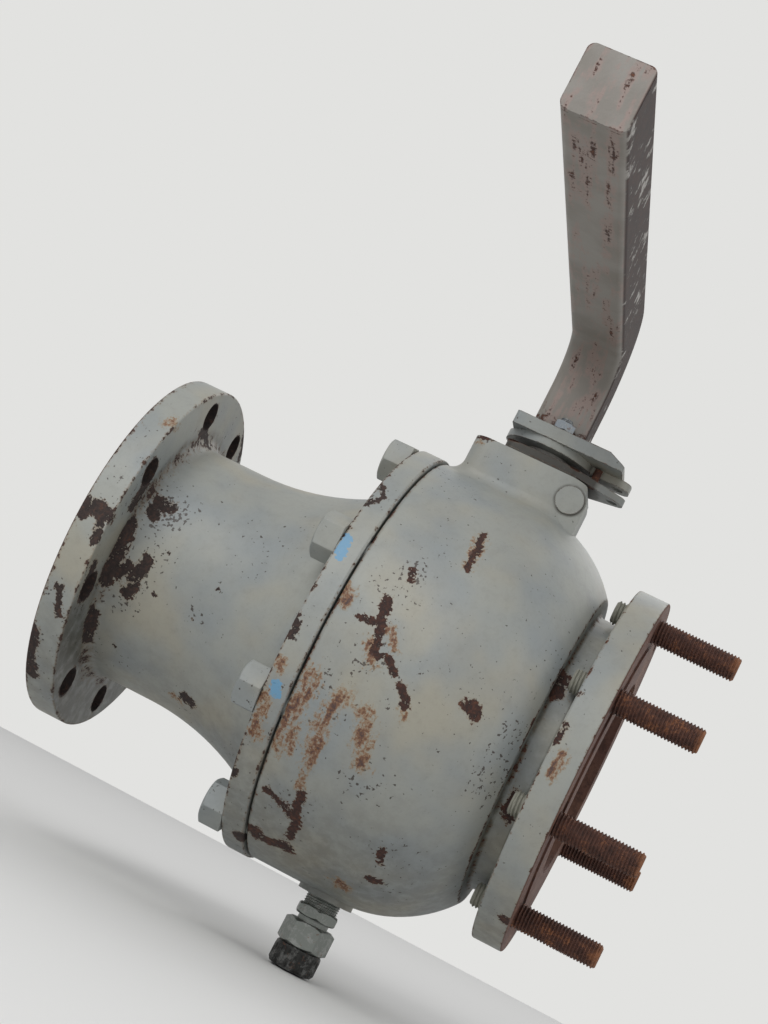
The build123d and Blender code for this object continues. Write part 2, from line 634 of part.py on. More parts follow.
# Plain ring round the stem axis
def stem_ring(inner_r, outer_r, bottom_z, top_z):
    with BuildPart() as ring:
        with BuildSketch(Plane.XY.offset(bottom_z)):
            with Locations(STEM_CENTRE):
                Circle(outer_r)
                Circle(inner_r, mode=Mode.SUBTRACT)
        extrude(amount=top_z - bottom_z)
    return ring.part


washer = stem_ring(STEM_R + LOOSE, COLLAR_R, WASHER_TOP_Z - WASHER_THICK, WASHER_TOP_Z)
bearing = stem_ring(STEM_R + FIT, STEM_BUSH_R, WASHER_TOP_Z, STEM_BUSH_TOP_Z)
packing = stem_ring(STEM_R + LOOSE, PACKING_R - FIT, PACKING_BOTTOM_Z, PACKING_TOP_Z)
save(washer, "stem_thrust_washer")
save(bearing, "stem_bearing")
save(packing, "stem_packing")

# Square gland flange with a round spigot that presses on the packing
with BuildPart() as gland_flange:
    with BuildSketch(Plane.XY.offset(PAD_TOP_Z)):
        with Locations(STEM_CENTRE):
            RectangleRounded(2 * GLAND_HALF, 2 * GLAND_HALF, GLAND_RIM)
    extrude(amount=GLAND_FLANGE_THICK)
    with BuildSketch(Plane.XY.offset(PACKING_TOP_Z)):
        with Locations(STEM_CENTRE):
            Circle(PACKING_R - LOOSE)
    extrude(amount=PAD_TOP_Z - PACKING_TOP_Z)
    with BuildSketch(Plane.XY.offset(GLAND_TOP_Z)):
        with Locations(STEM_CENTRE):
            Circle(STEM_R + STEM_HOLE_GAP)
            with PolarLocations(GLAND_SCREW_CIRCLE_R, GLAND_SCREW_COUNT, GLAND_SCREW_TURN):
                Circle(GLAND_SCREW_R + THREAD_GAP)
    extrude(amount=PACKING_TOP_Z - GLAND_TOP_Z, mode=Mode.SUBTRACT)
save(gland_flange.part, "gland_flange")

# Tapered ear of the fixed lock plate: a hull round two screw corners and a round end
with BuildSketch() as fixed_ear:
    with Locations((GLAND_SCREW_SIDE, GLAND_SCREW_SIDE), (GLAND_SCREW_SIDE, -GLAND_SCREW_SIDE)):
        Circle(GLAND_RIM)
    with Locations((LOCK_EAR_REACH, 0)):
        Circle(LOCK_EAR_R)
    make_hull()

# Ear of the lever's lock plate: parallel sides and rounded corners
with BuildSketch() as lever_ear:
    with Locations(((LOCK_EAR_REACH + LOCK_EAR_R) / 2, 0)):
        Rectangle(LOCK_EAR_REACH + LOCK_EAR_R, 2 * LEVER_EAR_HALF)
    fillet(lever_ear.vertices().group_by(Axis.X)[-1], LOCK_EAR_R)

# Fixed lock plate on the gland, with an ear for the shut and one for the open position
with BuildPart() as lock_plate:
    with BuildSketch(Plane.XY.offset(GLAND_TOP_Z)):
        with Locations(STEM_CENTRE):
            RectangleRounded(2 * GLAND_HALF, 2 * GLAND_HALF, GLAND_RIM)
            add(fixed_ear.sketch)
            add(fixed_ear.sketch, rotation=QUARTER_TURN)
            with Locations((LOCK_EAR_REACH, 0), (0, LOCK_EAR_REACH)):
                Circle(PADLOCK_HOLE_R, mode=Mode.SUBTRACT)
            Circle(STEM_R + STEM_HOLE_GAP, mode=Mode.SUBTRACT)
        with Locations(*STOP_PIN_PLACES):
            Circle(STOP_PIN_R + FIT, mode=Mode.SUBTRACT)
    extrude(amount=LOCK_PLATE_THICK)
    with Locations(*GLAND_SCREW_PLACES):
        CounterSinkHole(GLAND_SCREW_R + THREAD_GAP, GLAND_SCREW_HEAD_R + THREAD_GAP, LOCK_PLATE_THICK)
save(lock_plate.part, "lock_plate")

# Stop pins in the lock plate, which the lever's ear meets at each end of the quarter turn
with BuildPart() as stop_pins:
    with BuildSketch(Plane.XY.offset(GLAND_TOP_Z)):
        with Locations(*STOP_PIN_PLACES):
            Circle(STOP_PIN_R)
    extrude(amount=HEAD_BOTTOM_Z - STOP_PIN_TOP_GAP - GLAND_TOP_Z)
save(stop_pins.part, "stop_pins")

# Gland screws with countersunk heads, flush with the lock plate
with BuildPart() as gland_screws:
    with BuildSketch(Plane.XY.offset(LOCK_TOP_Z)):
        with Locations(STEM_CENTRE):
            with PolarLocations(GLAND_SCREW_CIRCLE_R, GLAND_SCREW_COUNT, GLAND_SCREW_TURN):
                Circle(GLAND_SCREW_R)
    extrude(amount=-GLAND_SCREW_LENGTH)
    with Locations(*GLAND_SCREW_PLACES):
        Cone(
            GLAND_SCREW_R,
            GLAND_SCREW_HEAD_R,
            GLAND_SCREW_HEAD_R - GLAND_SCREW_R,
            align=(Align.CENTER, Align.CENTER, Align.MAX),
        )
save(gland_screws.part, "gland_screws")

# Lever lock plate: a rim and one ear that swings over the fixed ears, welded round the hub
with BuildPart() as lever_lock_plate:
    with BuildSketch(Plane.XY.offset(HUB_BOTTOM_Z)):
        with Locations(STEM_CENTRE):
            Circle(LEVER_PLATE_R)
            add(lever_ear.sketch)
            with Locations((LOCK_EAR_REACH, 0)):
                Circle(PADLOCK_HOLE_R, mode=Mode.SUBTRACT)
            Circle(HUB_R + FIT, mode=Mode.SUBTRACT)
    extrude(amount=LEVER_PLATE_THICK)
save(lever_lock_plate.part, "lever_lock_plate")

# Lever head: a plate bevelled at one end, on a round hub with a square hole for the stem
with BuildPart() as lever_head:
    with BuildSketch(Plane.XZ):
        with BuildLine():
            Polyline(
                (STEM_X - HEAD_LEFT, HEAD_BOTTOM_Z),
                (STEM_X + HEAD_RIGHT, HEAD_BOTTOM_Z),
                (STEM_X + HEAD_RIGHT, HEAD_TOP_Z - HEAD_BEVEL_DROP),
                (STEM_X + HEAD_RIGHT - HEAD_BEVEL_RUN, HEAD_TOP_Z),
                (STEM_X - HEAD_LEFT, HEAD_TOP_Z),
                close=True,
            )
        make_face()
    extrude(amount=HEAD_HALF_WIDTH, both=True)
    fillet(lever_head.edges().filter_by(Axis.Z), HEAD_CORNER_R)
    with BuildSketch(Plane.XY.offset(HUB_BOTTOM_Z)):
        with Locations(STEM_CENTRE):
            Circle(HUB_R)
    extrude(amount=LEVER_PLATE_THICK)
    with BuildSketch(Plane.XY.offset(HUB_BOTTOM_Z)):
        with Locations(STEM_CENTRE):
            Rectangle(STEM_SQUARE + 2 * FIT, STEM_SQUARE + 2 * FIT)
    extrude(amount=HEAD_TOP_Z - HUB_BOTTOM_Z, mode=Mode.SUBTRACT)
    with BuildSketch(Plane.XY.offset(HEAD_TOP_Z)):
        with Locations(*HEAD_BOLT_PLACES):
            Circle(HEAD_BOLT_R + THREAD_GAP)
    extrude(amount=-HEAD_THICK, mode=Mode.SUBTRACT)
save(lever_head.part, "lever_head")

# Lever head bolts: threaded ends standing in nuts, before and behind the lever
with BuildPart() as lever_head_bolts:
    with BuildSketch(Plane.XY.offset(HEAD_TOP_Z)):
        with Locations(*HEAD_BOLT_PLACES):
            RegularPolygon(HEAD_NUT_ACROSS / 2, 6, major_radius=False)
    extrude(amount=HEAD_NUT_HEIGHT)
    with BuildSketch(Plane.XY.offset(HEAD_BOTTOM_Z)):
        with Locations(*HEAD_BOLT_PLACES):
            Circle(HEAD_BOLT_R)
    extrude(amount=HEAD_THICK + HEAD_NUT_HEIGHT + HEAD_BOLT_END)
save(lever_head_bolts.part, "lever_head_bolts")

# Lever arm: a square tube that rises from the head and bends over to a level arm
with BuildPart() as lever_arm:
    with BuildLine():
        FilletPolyline(
            (STEM_X, 0, HEAD_TOP_Z),
            (STEM_X, 0, LEVER_AXIS_Z),
            (STEM_X, -LEVER_REACH, LEVER_AXIS_Z),
            radius=LEVER_BEND_R,
        )
    with BuildSketch(Plane.XY.offset(HEAD_TOP_Z)):
        with Locations(STEM_CENTRE):
            RectangleRounded(LEVER_SECTION, LEVER_SECTION, LEVER_CORNER_R)
            RectangleRounded(
                LEVER_SECTION - 2 * LEVER_WALL,
                LEVER_SECTION - 2 * LEVER_WALL,
                LEVER_CORNER_R - LEVER_WALL,
                mode=Mode.SUBTRACT,
            )
    sweep()
save(lever_arm.part, "lever_arm")

# Cap welded on the lever's open end
with BuildPart() as lever_end_cap:
    with BuildSketch(Plane.XZ.offset(LEVER_REACH)):
        with Locations((STEM_X, LEVER_AXIS_Z)):
            RectangleRounded(LEVER_SECTION, LEVER_SECTION, LEVER_CORNER_R)
    extrude(amount=END_CAP_THICK)
save(lever_end_cap.part, "lever_end_cap")

# Round plug in the front of the stem pad
with BuildPart() as body_plug:
    with BuildSketch(Plane.XZ.offset(PAD_WIDTH / 2)):
        with Locations(PLUG_PLACE):
            Circle(PLUG_R)
    extrude(amount=PLUG_PROUD)
    with BuildSketch(Plane.XZ.offset(PAD_WIDTH / 2)):
        with Locations(PLUG_PLACE):
            Circle(PLUG_THREAD_R)
    extrude(amount=LOOSE - PLUG_DEPTH)
save(body_plug.part, "body_plug")

# Drain adaptor: a nipple screwed into the drain pad, with a hexagon below
with BuildPart() as drain_adaptor:
    with BuildSketch(Plane.XY.offset(DRAIN_PAD_Z + DRAIN_THREAD_DEPTH - LOOSE)):
        with Locations(STEM_CENTRE):
            Circle(NIPPLE_R)
    extrude(amount=ADAPTOR_TOP_Z - DRAIN_PAD_Z - DRAIN_THREAD_DEPTH + LOOSE)
    with BuildSketch(Plane.XY.offset(ADAPTOR_TOP_Z)):
        with Locations(STEM_CENTRE):
            RegularPolygon(ADAPTOR_ACROSS / 2, 6, major_radius=False)
    extrude(amount=-ADAPTOR_HEIGHT)
save(drain_adaptor.part, "drain_adaptor")

# Drain valve: a short neck and a hexagon body
with BuildPart() as drain_valve:
    with BuildSketch(Plane.XY.offset(ADAPTOR_BOTTOM_Z)):
        with Locations(STEM_CENTRE):
            Circle(DRAIN_NECK_R)
    extrude(amount=-DRAIN_NECK_LENGTH)
    with BuildSketch(Plane.XY.offset(DRAIN_BODY_TOP_Z)):
        with Locations(STEM_CENTRE):
            RegularPolygon(DRAIN_BODY_ACROSS / 2, 6, major_radius=False)
    extrude(amount=-DRAIN_BODY_HEIGHT)
save(drain_valve.part, "drain_valve")

# Round cap on the drain valve
with BuildPart() as drain_cap:
    with BuildSketch(Plane.XY.offset(DRAIN_CAP_TOP_Z)):
        with Locations(STEM_CENTRE):
            Circle(DRAIN_CAP_R)
    extrude(amount=-DRAIN_CAP_HEIGHT)
    chamfer(drain_cap.faces().sort_by(Axis.Z)[0].edges(), HEX_CHAMFER)
save(drain_cap.part, "drain_cap")
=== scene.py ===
import json
import math

import bmesh
import bpy
import numpy as np
from bpy.props import FloatProperty, FloatVectorProperty, IntProperty, PointerProperty
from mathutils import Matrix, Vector


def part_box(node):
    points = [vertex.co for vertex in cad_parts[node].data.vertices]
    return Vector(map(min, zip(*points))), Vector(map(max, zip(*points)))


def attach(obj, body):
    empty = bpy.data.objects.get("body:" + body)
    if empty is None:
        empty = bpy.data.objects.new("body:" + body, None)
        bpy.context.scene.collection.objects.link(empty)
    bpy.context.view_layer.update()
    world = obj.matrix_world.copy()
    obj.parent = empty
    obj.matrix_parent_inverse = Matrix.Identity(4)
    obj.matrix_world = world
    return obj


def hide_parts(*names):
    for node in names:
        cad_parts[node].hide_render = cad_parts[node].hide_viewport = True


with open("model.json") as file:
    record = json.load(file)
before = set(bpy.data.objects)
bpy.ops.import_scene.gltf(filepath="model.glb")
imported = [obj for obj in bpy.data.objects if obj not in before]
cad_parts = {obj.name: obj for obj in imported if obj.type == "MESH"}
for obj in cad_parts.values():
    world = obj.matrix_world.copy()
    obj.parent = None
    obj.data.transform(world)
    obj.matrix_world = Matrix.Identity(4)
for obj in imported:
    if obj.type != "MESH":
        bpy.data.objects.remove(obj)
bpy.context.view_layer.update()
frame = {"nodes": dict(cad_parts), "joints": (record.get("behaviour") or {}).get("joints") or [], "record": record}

bl_info = {
    "name": "Trunnion ball valve",
    "version": (1, 0, 0),
    "blender": (4, 5, 0),
    "location": "3D View > Sidebar > Ball valve",
    "description": "Finishes and threaded pieces for a weathered flanged trunnion ball valve",
    "category": "Object",
}

MM = 0.001


def span(node, axis):
    """Lowest and highest place of a construction node along an axis, in millimetres."""
    return tuple(round(corner["xyz".index(axis)] / MM, 3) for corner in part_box(node))


def middle(node, axis):
    """Middle of a construction node along an axis, in millimetres."""
    return sum(span(node, axis)) / 2


# Sizes of the pipe ends, from the record's mounts
MOUNTS = {mount["name"]: mount for mount in frame["record"]["mounts"]}
BOLT_CIRCLE_R = MOUNTS["inlet_bolts"]["dims"]["pcd_mm"] / 2
BOLT_COUNT = MOUNTS["inlet_bolts"]["dims"]["count"]
BOLT_HOLE_R = MOUNTS["inlet_bolts"]["dims"]["hole_r_mm"]
STUD_R = MOUNTS["outlet_studs_front"]["dims"]["stud_r_mm"]
STUDS_MISSING = 2
STUD_INNER_R = STUD_R - 0.325
STUD_THREAD_DEPTH = 1.35
STUD_CHAMFER = 2.0
STUD_OVERLAP = 2.5
STUD_TIP = 9.0
FLANGE_R = BOLT_CIRCLE_R + 19.05
FLANGE_THICK = 23.9
RAISED_HEIGHT = 1.6

# Places along the bore
STEM_X = frame["joints"][0]["pos_m"][0] / MM
INLET_FLANGE = (RAISED_HEIGHT, RAISED_HEIGHT + FLANGE_THICK)
OUTLET_FACE = span("valve_body", "x")[1]
OUTLET_FLANGE = (OUTLET_FACE - RAISED_HEIGHT - FLANGE_THICK, OUTLET_FACE - RAISED_HEIGHT)
JOINT_X, BODY_START = span("joint_gasket", "x")
JOINT_FLANGE = (JOINT_X - 18.0, JOINT_X)
SHOULDER_X = OUTLET_FLANGE[0] - 18.5
STUD_ENDS = span("outlet_studs", "x")

# Radii about the bore
BORE_R = 76.2
NECK_R = 95.0
NECK_END_R = 136.0
JOINT_FLANGE_R = span("inlet_end", "y")[1]
BARREL_R = span("valve_body", "y")[1]
SHOULDER_END_R = BARREL_R - 40.0
GROOVE_R = 109.0
JOINT_BOLT_CIRCLE_R = 150.0
JOINT_BOLT_R = 9.525
JOINT_BOLT_ENDS = span("joint_cap_screws", "x")
JOINT_HEAD_ACROSS = 31.8
JOINT_BOLT_CHAMFER = 1.5
JOINT_BOLT_SINK = 8.0
PAD_CORNER_R = 193.0

# Gland, lever head, lever and plug
GLAND_SCREW_CIRCLE_R = 33.5
GLAND_SCREW_Z = span("gland_screws", "z")
HUB_SHADE_R = 50.0
HEAD_Z = (span("lever_head_bolts", "z")[0], span("lever_head", "z")[1])
HEAD_BOLT_TOP_Z = span("lever_head_bolts", "z")[1]
HEAD_BOLT_X = middle("lever_head_bolts", "x")
HEAD_BOLT_R = 5.0
HEAD_NUT_ACROSS = 15.0
HEAD_NUT_HIGH = 7.0
HEAD_BOLT_Y = span("lever_head_bolts", "y")[1] - HEAD_NUT_ACROSS / 2
LEVER_HALF = span("lever_arm", "x")[1] - middle("lever_arm", "x")
WELD_HALF = 17.0
WELD_R = 3.0
PLUG_X = middle("body_plug", "x")
PLUG_Z = middle("body_plug", "z")
PLUG_R = span("body_plug", "z")[1] - PLUG_Z

# Drain fitting
DRAIN_PAD_Z = span("valve_body", "z")[0]
ADAPTOR_Z = (span("drain_adaptor", "z")[0], DRAIN_PAD_Z - 8.0)
DRAIN_BODY_Z = (span("drain_valve", "z")[0], span("drain_valve", "z")[1] - 3.5)
DRAIN_CAP_Z = span("drain_cap", "z")[0]
NIPPLE_R = 13.5
NIPPLE_HIDDEN = 9.0
ADAPTOR_ACROSS = 30.0
DRAIN_ACROSS = 34.0
DRAIN_NECK_R = 12.0
CAP_R = 18.0
CAP_FLUTES = 34

# How far a grid reaches into its neighbour, so that no gap shows
LAP = 0.5

# The photograph's camera place and roll, turned to take in the whole valve
CAMERA_PLACE = (0.4658, -1.4734, -0.1188)
CAMERA_TURN = (99.784, -27.156, 6.953)
CAMERA_LENS = 70.5

# Soft lamps: name, direction from the aim, distance and size in metres, share of the key's power
LAMP_AIM = Vector((0.20, -0.10, 0.04))
LAMPS = (
    ("key lamp", (-0.318, -0.807, 0.62), 2.4, 1.8, 1.0),
    ("side lamp", (0.85, -0.25, 0.35), 2.6, 1.6, 0.30),
    ("back lamp", (0.25, 0.85, 0.75), 2.6, 2.0, 0.45),
)
FLOOR_HALF = 1900.0
FLOOR_GAP = 0.5


def linear(red, green, blue):
    """A display colour of 0 to 255 a channel as the linear colour that nodes take."""
    channels = np.array([red, green, blue]) / 255.0
    curve = np.where(channels <= 0.04045, channels / 12.92, ((channels + 0.055) / 1.055) ** 2.4)
    return tuple(float(c) for c in curve)


def colour_setting(name, description, display):
    """A colour property whose default is given as a display colour."""
    return FloatVectorProperty(
        name=name, description=description, subtype="COLOR", size=3, default=linear(*display)
    )


def pitch_setting(name, description, pitch):
    """A length property for a thread's pitch, whose default is given in millimetres."""
    return FloatProperty(
        name=name,
        description=description,
        default=pitch * MM,
        min=0.5 * MM,
        subtype="DISTANCE",
        unit="LENGTH",
    )


class ValvePaint(bpy.types.PropertyGroup):
    """Colours and weathering of the painted castings."""

    paint: colour_setting("Paint", "Colour of the sound paint", (151, 153, 147))
    cool: colour_setting("Cool patches", "Colour of the faded bluish patches", (130, 138, 142))
    warm: colour_setting("Warm patches", "Colour of the yellowed patches", (156, 153, 140))
    # The grime colour is also laid on as painted shade in corners, under parts and towards the bottom.
    grime_and_shade: colour_setting("Grime", "Colour of the dirt that lies in corners", (70, 66, 58))
    chip_depth: FloatProperty(
        name="Chip depth",
        description="Depth of a chip below the paint, in millimetres",
        default=0.45,
        min=0.0,
        max=2.0,
    )
    speckle: FloatProperty(
        name="Specks",
        description="How readily the paint shows dark specks",
        default=0.30,
        min=0.0,
        max=1.0,
        subtype="FACTOR",
    )


class ValveThreads(bpy.types.PropertyGroup):
    """Pitches and section counts of the threads."""

    stud_pitch: pitch_setting("Stud pitch", "Pitch of the outlet studs' thread", 2.54)
    bolt_pitch: pitch_setting("Bolt pitch", "Pitch of the lever head bolts' thread", 1.5)
    nipple_pitch: pitch_setting("Nipple pitch", "Pitch of the drain nipple's thread", 1.8)
    around: IntProperty(
        name="Sections around",
        description="Points around a thread",
        default=28,
        min=12,
        max=64,
    )


class ValveStage(bpy.types.PropertyGroup):
    """Levels of the studio light."""

    backdrop: colour_setting(
        "Backdrop", "Colour of the floor and the background", (226, 226, 224)
    )
    ambient: FloatProperty(
        name="Ambient light",
        description="Strength of the even light from all round",
        default=0.42,
        min=0.0,
        max=2.0,
    )
    key: FloatProperty(
        name="Key light",
        description="Power of the large soft lamp above and in front",
        default=30.0,
        min=0.0,
        subtype="POWER",
        unit="POWER",
    )


# Meshes


def surface_object(name, finish, grids, sharp=32.0, soft=0.0):
    """A mesh object in a finish, made of grids of points in millimetres.

    Each grid is (points, closed): points has rows, columns and x, y, z, and closed says that
    the last column joins the first. Each face takes four neighbouring points of the grid. Rows
    that shrink to one point are merged, so poles are closed, and all normals face outwards.
    Edges over the sharp angle stay sharp, or are rounded by the soft width.
    """
    corners, faces, start = [], [], 0
    for points, closed in grids:
        rows, columns = points.shape[:2]
        index = np.arange(rows * columns).reshape(rows, columns) + start
        right = np.roll(index, -1, axis=1) if closed else index[:, 1:]
        left = index if closed else index[:, :-1]
        quads = np.stack([left[:-1], right[:-1], right[1:], left[1:]], axis=-1)
        corners.append(points.reshape(-1, 3))
        faces.append(quads.reshape(-1, 4))
        start += rows * columns
    mesh = bpy.data.meshes.new(name)
    mesh.from_pydata((np.concatenate(corners) * MM).tolist(), [], np.concatenate(faces).tolist())
    tidy = bmesh.new()
    tidy.from_mesh(mesh)
    bmesh.ops.remove_doubles(tidy, verts=tidy.verts, dist=0.002 * MM)
    bmesh.ops.dissolve_degenerate(tidy, edges=tidy.edges, dist=0.001 * MM)
    bmesh.ops.recalc_face_normals(tidy, faces=tidy.faces)
    tidy.to_mesh(mesh)
    tidy.free()
    mesh.polygons.foreach_set("use_smooth", np.ones(len(mesh.polygons), dtype=bool))
    mesh.set_sharp_from_angle(angle=math.radians(sharp))
    mesh.materials.append(finish.material)
    piece = bpy.data.objects.new(name, mesh)
    bpy.context.scene.collection.objects.link(piece)
    if soft:
        bevel = piece.modifiers.new("Soft edges", "BEVEL")
        bevel.width = soft * MM
        bevel.segments = 2
        bevel.limit_method = "ANGLE"
        bevel.angle_limit = math.radians(40)
        bevel.harden_normals = True
    return piece


def placed(axis, place, *shapes):
    """Closed grids for surface_object(): shapes about Z, laid along an axis at a place."""
    along = {"x": (2, 0, 1), "z": (0, 1, 2)}[axis]
    return [(points[..., along] + np.asarray(place), True) for points in shapes]


def full_turn(count):
    """Angles evenly spaced round a full circle."""
    return np.linspace(0.0, 2 * np.pi, count, endpoint=False)


def wound(radius, angles, height):
    """A grid about Z: the point at each radius, angle and height."""
    points = (radius * np.cos(angles), radius * np.sin(angles), height)
    return np.stack(np.broadcast_arrays(*points), axis=-1)


def lathe(profile, around=48):
    """A grid turned about Z: each profile point (radius, height) goes round a full circle."""
    radius, height = np.asarray(profile, dtype=float).T
    return wound(radius[:, None], full_turn(around), height[:, None])


def thread_grid(radius, start, end, pitch, depth, chamfer, around, turn=0.0):
    """A screw thread about Z as one grid over height and angle.

    The radius dips by the thread's depth along a helix: a triangle wave of height / pitch less
    angle / turn, with its crest and root flattened. It also stays under a cone of the chamfer's
    length at each end, and the end rows close to the axis.
    """
    rows_per_pitch, flat = 6, 0.14
    rows = max(int((end - start) / pitch * rows_per_pitch), 4)
    height = np.linspace(start, end, rows)[:, None]
    angles = full_turn(around)[None, :]
    phase = (height / pitch - (angles + turn) / (2 * np.pi)) % 1.0
    wave = np.clip((np.abs(2 * phase - 1) - flat) / (1 - 2 * flat), 0.0, 1.0)
    cone = radius - chamfer + np.minimum(height - start, end - height)
    grid = wound(np.minimum(radius - depth * wave, cone), angles, height)
    first, last = grid[:1] * (0, 0, 1), grid[-1:] * (0, 0, 1)
    return np.concatenate([first, grid, last])


def hexagon_radius(angles, across):
    """Distance from the axis to a hexagon's side at each angle.

    It is half across over the cosine of the angle from the nearest flat's middle.
    """
    sixth = (angles + math.pi / 6) % (math.pi / 3) - math.pi / 6
    return across / 2 / np.cos(sixth)


def hexagon_grid(across, bottom, top, chamfer_top=True, turn=0.0):
    """A hexagon prism about Z over angle and profile, with the curved chamfer of a nut.

    A cone of 30 degrees cuts the corners of the bottom, and of the top if asked, so the side's
    edge dips most at the corners.
    """
    angles = full_turn(72)
    flat = hexagon_radius(angles, across)
    crown = np.full_like(angles, 0.47 * across)
    drop = np.maximum(flat - crown, 0.0) * math.tan(math.radians(30))
    low = bottom + drop
    high = top - (drop if chamfer_top else 0 * drop)
    axis, level = np.zeros_like(angles), np.ones_like(angles)
    rows = [(axis, bottom * level), (crown, bottom * level), (flat, low)]
    rows += [(flat, low + (high - low) * share) for share in (0.33, 0.67)]
    rows += [(flat, high), (crown if chamfer_top else flat, top * level), (axis, top * level)]
    radius = np.array([row[0] for row in rows])
    height = np.array([row[1] for row in rows])
    return wound(radius, angles + turn, height)


def circle_places(radius, count):
    """Places on a circle about the bore's axis, half a pitch off Y, as angles and (y, z)."""
    angles = (np.arange(count) + 0.5) * 2 * np.pi / count
    return [(a, radius * math.cos(a), radius * math.sin(a)) for a in angles]


# Finishes


class Value:
    """A node's output; arithmetic on it adds Math nodes to the same tree."""

    def __init__(self, nodes, socket):
        self.nodes = nodes
        self.socket = socket

    def math(self, operation, *others):
        settings = {"operation": operation}
        return self.nodes.node("ShaderNodeMath", settings, dict(enumerate((self, *others))))

    def vector(self, operation, *others, output=0):
        settings = {"operation": operation}
        sockets = dict(enumerate((self, *others)))
        return self.nodes.node("ShaderNodeVectorMath", settings, sockets, output)

    def __add__(self, other):
        return self.math("ADD", other)

    __radd__ = __add__

    def __mul__(self, other):
        return self.math("MULTIPLY", other)

    __rmul__ = __mul__

    def __sub__(self, other):
        return self.math("SUBTRACT", other)

    def __rsub__(self, other):
        return self.nodes.node("ShaderNodeMath", {"operation": "SUBTRACT"}, {0: other, 1: self})

    def __truediv__(self, other):
        return self.math("DIVIDE", other)

    def larger(self, other):
        return self.math("MAXIMUM", other)

    def diagonal(self, other):
        """Length of the diagonal of two lengths at right angles."""
        return (self * self + other * other).math("SQRT")

    def waves(self, length):
        """Waves from -1 to 1 of a length in millimetres, as a lathe leaves them."""
        return (self * (2 * math.pi / length)).math("SINE")

    def frayed(self, cloud, share=1.0):
        """This value with its outline broken up by a share of a cloud's values."""
        return self + (cloud - 0.5) * share

    def rise(self, low, high):
        """A smooth step from 0 at low to 1 at high, or down again where low is above high."""
        start, end, first, last = (low, high, 0.0, 1.0) if low < high else (high, low, 1.0, 0.0)
        settings = {"interpolation_type": "SMOOTHSTEP", "clamp": False}
        sockets = {0: self, 1: start, 2: end, 3: first, 4: last}
        return self.nodes.node("ShaderNodeMapRange", settings, sockets)


class Nodes:
    """The nodes of one tree, each made by node()."""

    def __init__(self, tree):
        self.tree = tree

    def node(self, kind, settings, sockets, output=0):
        """Make a node: its settings first, a ramp's stops among them, then its sockets."""
        node = self.tree.nodes.new(kind)
        for key, value in settings.items():
            if key == "stops":
                elements = node.color_ramp.elements
                while len(elements) < len(value):
                    elements.new(0.5)
                for element, (position, colour) in zip(elements, value):
                    element.position = position
                    element.color = (*colour, 1.0)
            else:
                setattr(node, key, value)
        for key, value in sockets.items():
            self.feed(node.inputs[key], value)
        return Value(self, node.outputs[output])

    def feed(self, socket, value):
        if isinstance(value, Value):
            self.tree.links.new(value.socket, socket)
        elif isinstance(value, tuple) and socket.type == "RGBA" and len(value) == 3:
            socket.default_value = (*value, 1.0)
        else:
            socket.default_value = value

    def parts(self, kind, value):
        """The three numbers of a place or a colour, by a separating node of the kind."""
        node = self.node(kind, {}, {0: value}).socket.node
        return [Value(self, output) for output in node.outputs]

    def mix(self, under, over, share):
        """Lay one colour over another by a share of 0 to 1."""
        sockets = {0: share, 6: under, 7: over}
        return self.node("ShaderNodeMix", {"data_type": "RGBA"}, sockets, 2)

    def ramp(self, value, stops):
        """A colour from a value by stops of (position, colour)."""
        return self.node("ShaderNodeValToRGB", {"stops": stops}, {0: value})


